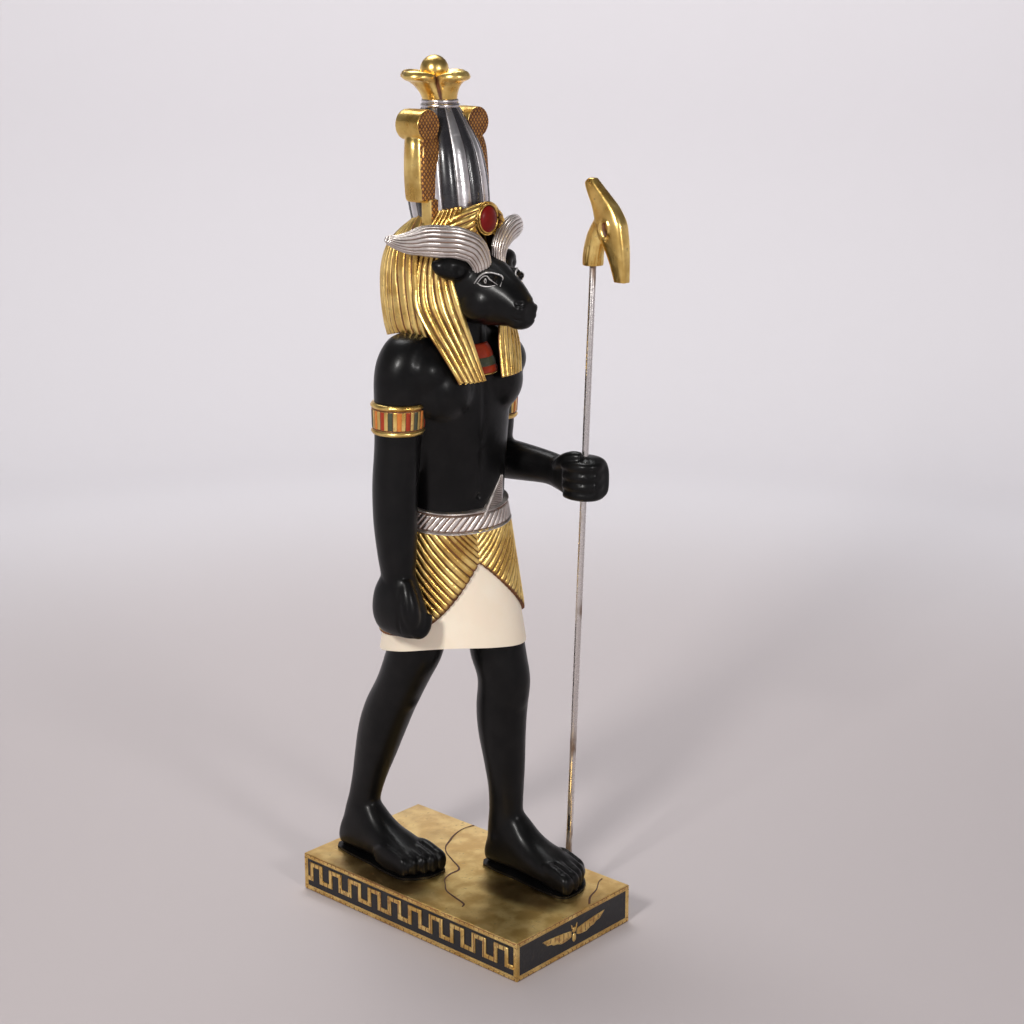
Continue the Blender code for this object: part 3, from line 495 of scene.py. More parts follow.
bm = bmesh.new()
for side, heel, toe, stations in legs:
    press(bm, 56, 90, hoops(stations, 2.1))
    reach = heel[1] - toe[1]
    slant = toe[0] - heel[0]
    foot = [(heel[0] + slant * share, heel[1] - reach * share, tall, wide, above, tall - 1)
            for share, tall, wide, above in foot_shape]
    press(bm, 48, 60, hoops(foot, 2.25, lying=True))
    middle, top = (-45, 138) if side < 0 else (42, -33), 40
    lump(bm, middle[0] - 14, middle[1] + 4, top, 7.5, 9, 10)
    lump(bm, middle[0] + 14, middle[1] + 4, top - 4, 7.5, 9, 10)
    knee = (-44, 42, 232) if side < 0 else (42, -60, 230)
    lump(bm, knee[0], knee[1] + 10, knee[2], 17, 15, 20)
bm = blend(bm, 2.4, 12)
cuts = []
for side, heel, toe, stations in legs:
    reach = heel[1] - toe[1]
    tracks = []
    for inward, wide, span in toes:
        x = toe[0] - side * inward
        rows = [(x, heel[1] - reach * (span - back), tall, wide * broad, above, below)
                for back, tall, broad, above, below in toe_shape]
        press(bm, 24, 30, hoops(rows, 2.3, lying=True))
        tracks.append([(x, y, tall + above) for x, y, tall, broad, above, below in rows[2:5]])
        nail_y = heel[1] - reach * (span - 0.035)
        nail = [(x + wide * 0.55 * cos(a), nail_y + wide * 0.7 * sin(a), 29.5) for a in nail_turns]
        cuts.append((nail, 1.0, 0.7))
    for first, second in zip(tracks, tracks[1:]):
        between = [((p[0] + q[0]) / 2, max(p[1], q[1]), min(p[2], q[2]) - 2) for p, q in zip(first, second)]
        cuts.append((between + [(between[-1][0], between[-1][1] - 2, 12)], 1.7, 2.0))
bm = blend(bm, 1.7, 6)
carve(bm, cuts)
for side, heel, toe, stations in legs:
    reach = heel[1] - toe[1]
    outline = [(heel[0] + (toe[0] - heel[0]) * share + hand * side * wide, heel[1] - reach * share)
               for hand, rows in ((-1, sole_inner), (1, sole_outer[::-1])) for share, wide in rows]
    ring = [bm.verts.new(at(x, y, 0)) for x, y in outline]
    face = bmesh.ops.contextual_create(bm, geom=ring)["faces"][0]
    grown = bmesh.ops.extrude_face_region(bm, geom=[face])
    bmesh.ops.translate(bm, vec=(0, 0, 0.0030), verts=verts_of(grown))
both_legs = keep("legs", outwards(bm), satin_black, smooth=60)
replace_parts(both_legs, "figure")

# Chest and arms. One hollow casting painted satin black, with a full chest and a narrow waist.
# The right arm hangs with its fist closed; the left fist is bored through to hold the rod.
rod_x = 97


def rod_y(tall):
    return -91 - 30 * tall / 764


bm = bmesh.new()
press(bm, 96, 90,
    hoops([(0, 9, 430, 60, 37, 40, 0.20), (0, 9, 464, 60, 37, 37, 0.20), (0, 9, 495, 60.5, 39, 37, 0.18),
    (0, 10, 530, 65, 43, 40, 0.12), (0, 12, 570, 73, 49, 45, 0.05), (0, 13, 605, 80, 52, 49, 0),
    (0, 14, 640, 85, 51, 50, 0), (0, 15, 664, 80, 45, 47, 0), (0, 16, 680, 62, 37, 41, 0),
    (0, 16, 698, 36, 34, 34, 0)], 2.3))
press(bm, 48, 40, hoops([(0, 6, 660, 33, 36, 34), (0, 2, 700, 27, 31, 34), (0, 4, 740, 27, 30, 34)]))
for side in (-1, 1):
    lump(bm, side * 43, -12, 624, 41, 34, 40)
    lump(bm, side * 64, -6, 646, 32, 31, 30)
    lump(bm, side * 52, -2, 660, 34, 30, 25)
lump(bm, -84, 9, 650, 29, 32, 34)
lump(bm, 78, 17, 638, 27, 28, 32)
press(bm, 48, 120,
    hoops([(-62, 12, 691, 14, 14, 14), (-71, 11, 684, 25, 25, 25), (-81, 10, 665, 30, 30, 32),
    (-86, 11, 640, 31, 31, 33), (-88, 14, 600, 27, 29, 30), (-90, 15, 560, 25.5, 27, 29),
    (-92, 16, 515, 25.5, 26, 31), (-94, 14, 470, 24.5, 24, 31), (-95, 11, 430, 22, 21, 28),
    (-95, 10, 405, 19, 18, 25), (-95, 9, 392, 19, 20, 27)]))
press(bm, 48, 90,
    hoops([(58, 22, 689, 14, 14, 14), (67, 23, 679, 25, 24, 25), (76, 24, 656, 28, 28, 30),
    (83, 26, 630, 28, 29, 30), (89, 30, 595, 26, 28, 28), (95, 36, 556, 25, 28, 27),
    (99, 43, 530, 24, 28, 25), (100, 45, 512, 23, 26, 23), (100, 42, 494, 14, 16, 14)]))
press(bm, 48, 80, hoops([(100, 60, 512, 12, 14, 14), (100, 48, 512, 22, 22, 22), (100, 20, 512, 24, 25, 25),
    (101, -15, 512, 22, 23, 23), (101, -50, 512, 18, 20, 21), (100, -68, 511, 17, 19, 23),
    (99, -82, 510, 19, 22, 26)], lying=True))
bm = blend(bm, 2.5, 12)
press(bm, 48, 60,
    hoops([(-95, 9, 406, 17, 17, 24), (-95, 8, 385, 21, 25, 36), (-95, 5, 362, 22, 31, 43),
    (-94, 4, 346, 20.5, 31.5, 41), (-93, 4, 336, 16, 27, 35)], 2.7))
press(bm, 20, 40, cord([(-100, -4, 402), (-103, -12, 384), (-104, -17, 364), (-102, -18, 347)],
    [8, 11, 11.5, 8.5]))
for k in range(4):
    press(bm, 20, 30, cord([(-80, -21 + 15 * k, 362), (-86, -22 + 15.5 * k, 347), (-96, -22 + 15 * k, 342),
                            (-105, -19 + 14 * k, 348)], [6.2, 7.4, 7.6, 6.8]))
press(bm, 48, 60,
    hoops([(99, -64, 511, 14, 16, 18), (99, -78, 511, 17, 20, 22), (100, -94, 510, 20, 25, 27),
    (101, -114, 509.5, 21, 26.5, 27), (101, -128, 509, 19, 25, 25), (101, -136, 508, 13, 19, 19)], 3.2,
    lying=True))
press(bm, 20, 40, cord([(88, -76, 520), (84, -90, 529), (85, -104, 535), (88, -115, 536)],
    [7, 8.6, 8.0, 6.2]))
for k, level in enumerate((525, 513, 501, 490)):
    girth = 0.88 if k == 3 else 1.0
    press(bm, 20, 40,
        cord([(111, -117, level), (106, -128, level), (94, -130, level), (84, -123, level),
        (80, -108, level), (82, -94, level)], [6.0 * girth, 6.6 * girth, 6.8 * girth, 6.8 * girth,
        6.8 * girth, 6.2 * girth]))
bm = blend(bm, 1.85, 3)
cuts = [([(0, -40, 560), (0, -43, 600), (0, -41, 646)], 4.5, 2.0), ([(0, -37, 545), (0, -32, 506)], 5, 0.9),
        ([(0, -31, 491)], 2.8, 4.0), ([(0, -31, 491)], 6.5, 0.9)]
for k in range(3):
    middle = 519 - 11.8 * k
    cuts.append(([(90, -137, middle), (78, -128, middle), (73, -112, middle), (74, -96, middle)], 1.5, 1.5))
    front = -18.5 + 15.5 * k
    cuts.append(([(-74, front, 362), (-84, front, 342), (-96, front, 335)], 1.6, 1.4))
cuts.append(([(-114, -6, 396), (-118, -8, 378), (-118, -8, 360), (-115, -8, 343)], 1.9, 2.0))
carve(bm, cuts)
torso = keep("chest_and_arms", bm, satin_black, smooth=60)
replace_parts(torso, "figure")

# Ram's head. Cast with the body and painted satin black, with lidded eyes, flared nostrils and short ears.
# The eyes are outlined in thin silver paint, and a small silver ring in each eye is a painted glint.
ear = [(27, -38, 762), (38, -34, 765), (49, -29, 767), (59, -23, 770), (65, -19, 774)]
face_cuts = (([(11.5, -107, 729), (13.5, -104, 729)], 2.8, 3.6),
             ([(8, -112, 730), (10, -110, 734), (15, -104, 735)], 1.6, -1.0),
             ([(1, -115, 711), (10, -111, 709.5), (16, -104, 711), (20, -97, 714)], 1.5, 2.0),
             ([(12, -114, 716), (17, -106, 718)], 2.2, 1.0), ([(46, -42, 765), (56, -34, 769)], 4.5, 3.5))


def mirrored(side, points):
    return [(side * x, y, z) for x, y, z in points]


bm = bmesh.new()
press(bm, 72, 90,
    hoops([(0, 24, 745, 30, 30, 40), (0, -20, 744, 38, 41, 45), (0, -42, 742, 36, 38, 44),
    (0, -58, 739, 32, 34, 40), (0, -74, 734, 26.5, 29, 34), (0, -89, 727, 21.5, 25.5, 27),
    (0, -100, 721, 18, 21, 21), (0, -106, 719, 16, 17, 18), (0, -110, 718, 11, 12, 13)], 2.15, lying=True))
lump(bm, 0, -95, 706, 14.5, 14.5, 8)
for side in (-1, 1):
    lump(bm, side * 23, -46, 727, 14, 27, 21)
    lump(bm, side * 21, -62, 757, 8, 15, 8)
    lump(bm, side * 9.5, -102, 723, 8.5, 9, 9.5)
    press(bm, 24, 30, cord(mirrored(side, ear), [8, 12.5, 13.5, 9.5, 2.5]))
bm = blend(bm, 1.8, 10)
for side in (-1, 1):
    lump(bm, side * 24.5, -68, 754.5, 5.2, 10, 6)
bm = blend(bm, 0.95, 3)
cuts = [([(0, -118, 722), (0, -116, 712)], 1.6, 1.5)]
for side in (-1, 1):
    cuts += [(mirrored(side, points), width, depth) for points, width, depth in face_cuts]
carve(bm, cuts)
head_skin = BVHTree.FromBMesh(bm)
ram = keep("ram_head", bm, satin_black, smooth=60)
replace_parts(ram, "figure")

silver_and_glint_paint, tint = new_finish("eye_silver_and_glint")
lay(silver_and_glint_paint, Base_Color=tint.cloud(900, 3).mix((0.30, 0.29, 0.29), (0.72, 0.70, 0.69)), Roughness=0.32,
    Metallic=0.6)
lid_lines_and_glint = (([(-54, 750), (-60, 759), (-69, 763), (-78, 758), (-82, 748)], 1.0),
             ([(-58, 751.5), (-63, 757.5), (-69, 759.5), (-75, 756), (-79, 749.5)], 0.75),
             ([(-57, 751), (-63, 748), (-70, 747.5), (-77, 749)], 0.75),
             # This small ring is a painted glint on the eye, set in the same silver.
             ([(-70.5, 754), (-69, 756.5), (-67.5, 754), (-69, 751.8), (-70.5, 754)], 0.6))
paint_rise = 0.45
bm = bmesh.new()
for side in (-1, 1):
    for line, thick in lid_lines_and_glint:
        spots = []
        for y, z in line:
            hit = head_skin.ray_cast(at(side * 80, y, z), Vector((-side, 0, 0)))[0]
            spots.append((hit.x / figure_unit + side * paint_rise, y, z))
        press(bm, 10, 40, cord(spots, [thick * 0.5, *[thick] * (len(line) - 2), thick * 0.5]))
keep("eye_lines_and_glints", outwards(bm), silver_and_glint_paint)

# Headcloth. A sheet of rounded ribs, gilt, runs from the foot of the crown over the head to the shoulders.
# In front of each shoulder it ends in a lappet on the chest, and its brow band carries a red enamel sun.
rib_depth = 2.3
cloth_rows = [(824, 18, 42, 58, 38, 12), (810, 22, 54, 64, 48, 8), (790, 27, 65, 66, 58, 4),
    (762, 30, 71, 66, 63, 0), (730, 30, 74, 68, 62, 0), (700, 29, 74, 69, 57, 0), (680, 28, 71, 66, 53, 0)]
lappet_rows = [(40, -5, 829, 25, -30, 834), (51, -2, 813, 33, -31, 817), (59, 3, 790, 38, -27, 791),
    (68, 6, 757, 38, -27, 757), (74, 2, 725, 34, -35, 725), (73, -17, 697, 26, -40, 697),
    (68, -32, 675, 20, -44, 675), (61, -42, 655, 16, -50, 653), (54, -49, 638, 13, -55, 636)]


def ribbed(share, count, sharp=0.55):
    """Height of rounded ribs side by side across a share of 0 to 1, and how deep in a groove that is."""
    wave = abs(sin(pi * share * count))
    return wave ** sharp, (1 - wave) ** 2.2


def cloth_back(u, v):
    z, y, wide, front, back, tilt = through(cloth_rows, v)
    side_turn = -radians(10 + 21 * v)
    turn = side_turn + (pi - 2 * side_turn) * u
    c, s = rounded(turn, 2.5 if turn < 0 or turn > pi else 2.2)
    height, depth = ribbed(u, 31)
    lift = 9 * max(0.0, 1 - abs(sin(turn)) * 1.35) * v ** 6
    swell = 1 + rib_depth * (height - 0.6) / wide
    return at(wide * swell * c, y + (back if s > 0 else front) * swell * s, z - tilt * s + lift), depth


def cloth_lappet(side):
    def place(u, v):
        out_x, out_y, out_z, in_x, in_y, in_z = through(lappet_rows, v)
        edge = Vector((out_x - in_x, out_y - in_y, out_z - in_z))
        face = Vector((edge.y, -edge.x, 0)).normalized()
        if face.y > 0:
            face = -face
        height, depth = ribbed(u, 6)
        proud = 3.5 * sin(pi * u) + rib_depth * (height - 0.4)
        spot = Vector((in_x, in_y, in_z)) + edge * u + face * proud
        return at(side * spot.x, spot.y, spot.z), depth
    return place


brow_rows = [(1, -45, 839.5, 11, -46, 800, 15.5, -1.0), (9, -42, 838.5, 19, -44, 796, 11, -3),
    (22, -34, 834, 30, -39, 792, 7, -4.5), (35, -20, 826, 42, -30, 789, 5.5, -5),
    (43, -3, 817, 53, -15, 787, 5.5, -4), (48, 12, 808, 61, 1, 786, 5, -3)]


def brow_band(side):
    def place(u, v):
        top_x, top_y, top_z, low_x, low_y, low_z, belly_x, belly_y = through(brow_rows, v)
        height, depth = ribbed(u, 5)
        edge = Vector((low_x - top_x, low_y - top_y, low_z - top_z))
        belly = Vector((belly_x, belly_y, 0))
        out = Vector((belly_x + 2, belly_y - 2, 3)).normalized()
        rib = out * rib_depth * (height - 0.4)
        spot = Vector((top_x, top_y, top_z)) + edge * u + belly * sin(pi * u) + rib
        return at(side * spot.x, spot.y, spot.z), depth
    return place


def thicken(piece, thick):
    """Gives a sheet its thickness, inwards from the shaped face."""
    wall = piece.modifiers.new("wall", "SOLIDIFY")
    wall.thickness = thick
    wall.offset = -1
    return piece


def turns(count):
    return np.linspace(0, 2 * pi, count)


def sheet(around, along, place, turned):
    """An open sheet. Its faces are turned round where the grid would show their backs."""
    bm = bmesh.new()
    press(bm, around, along, place, ends=False, seam=False)
    if turned:
        bmesh.ops.reverse_faces(bm, faces=bm.faces)
    return bm


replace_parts(thicken(keep("headcloth", sheet(310, 50, cloth_back, True), gold), 0.004), "figure")
for side, name in ((-1, "right"), (1, "left")):
    thicken(keep("lappet_" + name, sheet(84, 110, cloth_lappet(side), side > 0), gold), 0.006)
    thicken(keep("brow_band_" + name, sheet(60, 70, brow_band(side), side < 0), gold), 0.005)

enamel_red, tint = new_finish("enamel_red")
lay(enamel_red,
    Base_Color=tint.cloud(160, 4).ramp(0.2, 0.9).mix((0.14, 0.004, 0.004), (0.21, 0.008, 0.006)),
    Roughness=0.25 + tint.cloud(300, 2) * 0.15, Specular_IOR_Level=0.2,
    Normal=tint.relief(tint.cloud(260, 2), 0.00006))
bm = bmesh.new()
lump(bm, 0, -45.5, 819, 14, 5.5, 15.5)
keep("brow_sun", bm, enamel_red)
bm = bmesh.new()
for reach, thick in ((15.0, 1.1), (17.0, 1.2)):
    loop = [(reach * sin(a), -46.5 + (reach - 15) * 0.9, 820 + reach * 1.08 * cos(a)) for a in turns(25)]
    press(bm, 10, 96, cord(loop, [thick] * 25))
keep("brow_sun_frame", outwards(bm), gold)

# Horns. Two broad wavy horns spread sideways from the top of the forehead, cast with fine ridges along them.
# They are silver leaf with a brown glaze left between the ridges, deepened there as painted shade.
silver = gilding("silver_leaf", (0.80, 0.74, 0.70), (0.52, 0.47, 0.44), (0.10, 0.055, 0.035), 0.26)
horn_tracks = {-1: [(17, -52, 762, 9, 11), (19, -51, 774, 9.5, 13.5), (27, -47, 788, 10, 17),
    (45, -40, 796, 10, 18), (62, -27, 798, 10, 18.5), (76, -19, 799, 9.5, 17.5),
    (90, -10, 797.5, 8.5, 13.5), (101, -1, 798.5, 7, 8.5), (108, 6, 801.5, 5, 5.5), (111, 8, 803, 2, 2.4)],
    1: [(14, -50, 762, 8, 9), (15, -47, 775, 8.5, 11.5), (20, -46, 789, 9, 14), (30, -44, 799, 9.5, 15),
    (43, -40, 804, 9.5, 15), (58, -33, 805, 9, 14.5), (74, -22, 804, 8, 13), (90, -10, 801, 7, 10.5),
    (102, 0, 800, 5, 7), (108, 6, 801, 2, 3)]}


def horn_place(side):
    def place(u, v):
        track = horn_tracks[side]
        x, y, z, thick, broad = through(track, v)
        ahead = heading(track, v)
        front = ahead.cross(Vector((0.35, -1, 0)).cross(ahead)).normalized()
        across = ahead.cross(front)
        turn = 2 * pi * u
        height, depth = ribbed(u, 18, 0.7)
        swell = 1 - 0.10 * (1 - height)
        spot = Vector((x, y, z)) + swell * (thick * cos(turn) * front + broad * sin(turn) * across)
        return at(side * spot.x, spot.y, spot.z), depth * min(1.0, (1 - v) * 8)
    return place


def closed(around, along, place):
    """A new closed form, its faces outwards."""
    bm = bmesh.new()
    press(bm, around, along, place)
    return outwards(bm)


for side, name in ((-1, "horn_right"), (1, "horn_left")):
    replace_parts(keep(name, closed(216, 120, horn_place(side)), silver), "figure")

# Crown. A tall cap of upright lobes, painted silver and black in turn, leans a little to the back.
# A silver double ring closes it, and gilt plumes with rolled tops stand at its sides.
crown_profile = [(812, 45), (835, 47.5), (856, 47.8), (876, 46.2), (897, 42.5), (917, 34.5), (934, 26.5),
    (943, 21.5)]
lobes = 16
crown_turn = radians(12)


def crown_middle(z):
    return 13 + (z - 812) * 0.115


def crown_place(u, v):
    z, radius = through(crown_profile, v)
    wave = abs(sin(pi * u * lobes))
    swell = radius * (0.945 + 0.055 * wave ** 0.7)
    turn = 2 * pi * u + crown_turn
    return at(swell * cos(turn), crown_middle(z) + swell * sin(turn), z), (1 - wave) ** 4


crown_black, tint = new_finish("crown_black")
lay(crown_black, Base_Color=tint.cloud(120, 4).mix((0.006, 0.006, 0.008), (0.03, 0.028, 0.032)),
    Roughness=0.2 + tint.cloud(90, 3) * 0.15, Coat_Weight=0.4, Coat_Roughness=0.08)
crown_silver = gilding("crown_silver", (0.84, 0.82, 0.83), (0.60, 0.56, 0.56), (0.05, 0.04, 0.04), 0.2, 0.2)
bm = closed(lobes * 14, 90, crown_place)
for face in bm.faces:
    middle = face.calc_center_median()
    turn = atan2(middle.y - crown_middle((middle.z - sole_level) / figure_unit) * figure_unit, middle.x)
    face.material_index = int(floor((turn - crown_turn) / (2 * pi) * lobes)) % 2
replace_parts(keep("crown", bm, crown_silver, crown_black), "figure")

bm = bmesh.new()
for tall, radius, thick in ((943.5, 20.2, 2.9), (948.6, 19.0, 2.7)):
    middle = crown_middle(tall)
    loop = [(radius * cos(a), middle + radius * sin(a), tall) for a in turns(33)]
    press(bm, 16, 128, cord(loop, [thick] * 33))
keep("crown_rings", outwards(bm), crown_silver)

hatched, tint = new_finish("plume_face")
x, y, z = tint.axes()
strokes = [((z * 0.8 + slant) * 190).maths("FRACT") - 0.5 for slant in (x, x * -1.0)]
lines = strokes[0].maths("ABSOLUTE").maths("MINIMUM", strokes[1].maths("ABSOLUTE")).ramp(0.30, 0.12)
lay(hatched,
    Base_Color=(lines * 0.85 + (tint.cloud(90, 3) - 0.4) * 0.5).mix((0.62, 0.30, 0.07),
    (0.085, 0.018, 0.006)), Metallic=0.75 - lines * 0.55, Roughness=0.32 + lines * 0.2,
    Normal=tint.relief(1.0 - lines, 0.0004))
plume_stem = [(0, 12, 839, 17, 12, 13), (0, 12, 844, 19, 15, 16), (0, 13, 870, 19, 15, 17),
    (-1, 15, 898, 18, 15, 16), (-4, 19, 915, 16, 13, 14), (-10, 24, 932, 12, 11, 11)]
plume_side = [(9, 15, 842, 9, 10, 12), (9, 15, 848, 11, 12, 15), (9, 16, 870, 11, 12, 15),
    (8, 18, 900, 11, 12, 13), (5, 22, 915, 9, 10, 10)]
plume_stub = [(-2, 3, 812, 9, 9, 9), (-2, 3, 842, 9, 9, 9)]
for side, name, spot_x, spot_y in ((-1, "plume_right", 45, -1), (1, "plume_left", 39, 5)):
    bm = bmesh.new()
    for rows, power in ((plume_stem, 5.0), (plume_side, 2.0), (plume_stub, 5.0)):
        press(bm, 64, 60, hoops([(side * (spot_x + x), spot_y + y, *rest) for x, y, *rest in rows], power))
    centre = side * (spot_x + 2)
    press(bm, 64, 40,
        hoops([(centre, 38 + spot_y, 924, 14, 14, 14), (centre, 36 + spot_y, 924, 17.5, 17.5, 17.5),
        (centre, 4 + spot_y, 924, 17.5, 17.5, 17.5), (centre, 2 + spot_y, 924, 15.5, 15.5, 15.5)], 2.0,
        lying=True))
    bm = blend(bm, 1.0, 3)
    front, seam_x = spot_y + 1, side * (spot_x + 13.5)
    scroll = [(centre + 15 * cos(a), front, 924 + 15 * sin(a)) for a in turns(25)]
    carve(bm, [([(seam_x, front, 846), (seam_x, front, 900)], 1.3, 1.4), (scroll, 1.2, 1.2)])
    bm.normal_update()
    for face in bm.faces:
        face.material_index = int(face.normal.y < -0.72)
    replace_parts(keep(name, bm, gold, hatched), "figure")

# Lotus finial. An open gilt flower of thick petals stands on the crown's rings and holds a ball.
# The ball is gilt too, in the same mottled leaf.
lotus_rows = [(946, 28, 18, 0, 0), (950, 29, 20, 0.5, 0), (957, 30.5, 22, 1.5, 0.5), (964, 33, 25.5, 4, 1),
    (969, 35, 29.5, 7.5, 1.5), (972, 35.5, 33, 11, 0.5), (975, 36, 35, 12.5, 1), (978.5, 36, 33.5, 11, 3),
    (979, 36, 30.5, 9, 4), (976, 36.5, 28, 6.5, 4), (970, 37, 20, 1, 2), (968, 37, 14, 0, 0)]
petals = 4


def lotus_place(u, v):
    z, y, radius, flare, lift = through(lotus_rows, v)
    turn = 2 * pi * u
    wave = abs(cos(petals * (turn - 0.05) / 2))
    leaf = 2 * wave ** 0.75 - 1
    reach = radius + flare * leaf
    return at(reach * cos(turn), y + reach * sin(turn), z + lift * leaf), (1 - wave) ** 3


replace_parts(keep("lotus", closed(240, 80, lotus_place), gold), "figure")
bm = bmesh.new()
made = bmesh.ops.create_uvsphere(bm, u_segments=64, v_segments=40, radius=0.0165)["verts"]
bmesh.ops.translate(bm, vec=at(0, 37, 983.4), verts=made)
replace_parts(keep("crown_ball", bm, gold), "figure")

# Kilt. A plain cream underskirt shows below two pleated gilt flaps that part in front.
# The pleats run down towards the front, and a dark glaze lies between them and along the lower edges;
# between the pleats it is partly painted shade.
belt_front, belt_tall, apex = 447, 27, 412
apex_turn = -0.115


def belt_low(turn):
    """The belt dips in front, a little to the figure's right, and rises to the back."""
    return belt_front + 11 * (1 - cos(turn + 0.17))


def kilt_point(turn, z, proud):
    share = max(0.0, (belt_front + belt_tall - z) / 185)
    wide = 60.5 + 15.5 * share ** 0.7
    front = 39 + 34 * share ** 1.2
    back = 42 + 40 * share ** 0.8
    c, s = rounded(turn - pi / 2, 2.15)
    x = (wide + proud) * c
    return at(x, 9 + 2 * share + ((back if s > 0 else front) + proud) * s - (0.20 + 0.11 * share) * x, z)


def kilt_place(u, v):
    turn = 2 * pi * u
    stride = turn - radians(42)
    low = 297 + 14 * sin(stride) ** 2 + 6 * cos(stride)
    top = belt_low(turn) + belt_tall - 6
    edge = max(0.0, v - 0.97) / 0.03
    return kilt_point(turn, low + (top - low) * (1 - min(v / 0.97, 1.0)), -2.5 * edge ** 2), 0.0


cream, tint = new_finish("cream_cloth")
lay(cream, Base_Color=tint.cloud(30, 5).ramp(0.30, 0.80).mix((0.92, 0.79, 0.62), (0.94, 0.83, 0.67)),
    Roughness=0.42 + tint.cloud(60, 3) * 0.15, Normal=tint.relief(tint.cloud(140, 3), 0.00025),
    Subsurface_Weight=0.05)
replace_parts(keep("underskirt", closed(160, 90, kilt_place), cream, smooth=60), "figure")


def flap_place(side):
    front_run = (belt_front - apex) / 340
    meet = 0.012 if side < 0 else 0.018
    fall, spread = (112, 1.15) if side < 0 else (110, 1.4)

    def place(u, v):
        s = u * (1 + front_run)
        if s < front_run:
            low_turn, low_z = -meet, belt_front - (belt_front - apex) * s / front_run
        else:
            low_turn = (pi + 2 * meet) * (s - front_run) - meet
            low_z = apex - fall * tanh(max(0.0, low_turn) / spread) + 10 * max(0.0, low_turn - 1)
        rise = belt_low(apex_turn + side * min(low_turn + 0.8, pi)) - low_z
        high_turn = low_turn + 0.0135 * rise
        if high_turn > pi + meet:
            rise *= (pi + meet - low_turn) / max(high_turn - low_turn, 1e-6)
            high_turn = pi + meet
        height, depth = ribbed(u, 48, 0.6)
        turn = apex_turn + side * (low_turn + (high_turn - low_turn) * v)
        lip = max(0.0, 1 - v * 14)
        proud = 2.4 + 2.2 * (height - 0.15) - 0.8 * lip ** 2
        return kilt_point(turn, low_z + rise * v, proud), max(depth, 0.8 * lip)
    return place


for side, name in ((-1, "flap_right"), (1, "flap_left")):
    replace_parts(thicken(keep(name, sheet(432, 36, flap_place(side), side < 0), gold), 0.0035), "figure")

# Belt. A silver band round the waist, cast with slanting bars between two double rims.
# A tapering silver tab stands up from it in front, finely ruled.
bars = 49


def twin_lines(v, inset, width):
    """How near v is, 0 to 1, to a line that lies inset from either edge of a band."""
    return max(exp(-((v - inset) / width) ** 2), exp(-((v - 1 + inset) / width) ** 2))


def belt_place(u, v):
    turn = 2 * pi * u
    z = belt_low(turn) + belt_tall * v
    rim_line = twin_lines(v, 0.06, 0.045)
    gap_line = twin_lines(v, 0.16, 0.03)
    wave = abs(sin(pi * (u * bars - 2.8 * v)))
    inside = 1.0 if 0.17 < v < 0.83 else 0.0
    groove = max(gap_line, inside * (1 - wave) ** 1.6)
    return kilt_point(turn, z, 2.8 + 2.2 * rim_line + inside * 1.6 * wave ** 0.5 - 0.8 * gap_line), groove


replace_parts(keep("belt", closed(bars * 12, 36, belt_place), silver), "figure")


def tab_place(u, v):
    low_out, low_in = Vector((37.5, -31.5, 470)), Vector((1, -35.5, 467))
    high_out, high_in = Vector((42, -28, 508)), Vector((36, -31, 511))
    spot = low_in.lerp(high_in, v).lerp(low_out.lerp(high_out, v), u)
    height, depth = ribbed(v + u * 0.12, 20, 0.8)
    rim_line = 1.0 if min(u, 1 - u) < 0.12 else 0.0
    out = 1.2 * height * (1 - rim_line) + 1.4 * rim_line + 1.5 * sin(pi * u)
    return at(*(spot + Vector((0.35, -0.94, 0)) * out)), depth * (1 - rim_line)


thicken(keep("belt_tab", sheet(24, 120, tab_place, False), silver), 0.006)

# Armlets. Each is a broad gilt band round the upper arm with two raised rims.
# Between the rims stand upright enamel lozenges in red, dark green and orange, parted by gilt bars.
inlays = 18


def inlay_paint(name, dark, light):
    material, tint = new_finish(name)
    return lay(material, Base_Color=tint.cloud(260, 3).mix(dark, light),
        Roughness=0.25 + tint.cloud(200, 2) * 0.2, Specular_IOR_Level=0.3)


enamels = (inlay_paint("enamel_brick", (0.22, 0.018, 0.006), (0.44, 0.05, 0.015)),
           inlay_paint("enamel_green", (0.022, 0.028, 0.018), (0.09, 0.10, 0.06)),
           inlay_paint("enamel_orange", (0.45, 0.11, 0.02), (0.72, 0.26, 0.05)))


def armlet_place(side, low_y, high_y):
    def place(u, v):
        z = (577 if side < 0 else 565) + 36 * v
        middle = (-89 if side < 0 else 93.5 - 5.5 * v, low_y + (high_y - low_y) * v)
        rim_line = twin_lines(v, 0.08, 0.055)
        gap_line = twin_lines(v, 0.175, 0.028)
        spot = (u * inlays * 2) % 2
        inside = 0.2 < v < 0.8
        swell = sin(pi * min(spot / 1.2, 1.0)) if inside and spot < 1.2 else 0.35 * inside
        wide = 26.5 + 1.5 * v + 2.0 + 1.8 * rim_line + 1.0 * swell - 0.6 * gap_line
        turn = 2 * pi * u
        c, s = cos(turn), sin(turn)
        deep = wide + (2.5 if s > 0 else 1.5)
        edge = 0.8 if inside and (spot < 0.12 or 1.08 < spot < 1.2) else 0.0
        return at(middle[0] + wide * c, middle[1] + deep * s, z), max(gap_line, edge)
    return place


def on_grid(bm, face):
    """Where on the pressed grid a face's middle lies, as u and v."""
    uv = bm.loops.layers.uv.active
    return [sum(loop[uv].uv[k] for loop in face.loops) / len(face.loops) for k in (0, 1)]


for side, name, low_y, high_y in ((-1, "armlet_right", 14.5, 13), (1, "armlet_left", 34.5, 29)):
    bm = closed(inlays * 20, 44, armlet_place(side, low_y, high_y))
    for face in bm.faces:
        u, v = on_grid(bm, face)
        spot = (u * inlays * 2) % 2
        if len(face.verts) == 4 and 0.2 < v < 0.8 and 0.1 < spot < 1.1:
            face.material_index = 1 + int(u * inlays) % 3
    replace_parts(keep(name, bm, gold, *enamels), "figure")

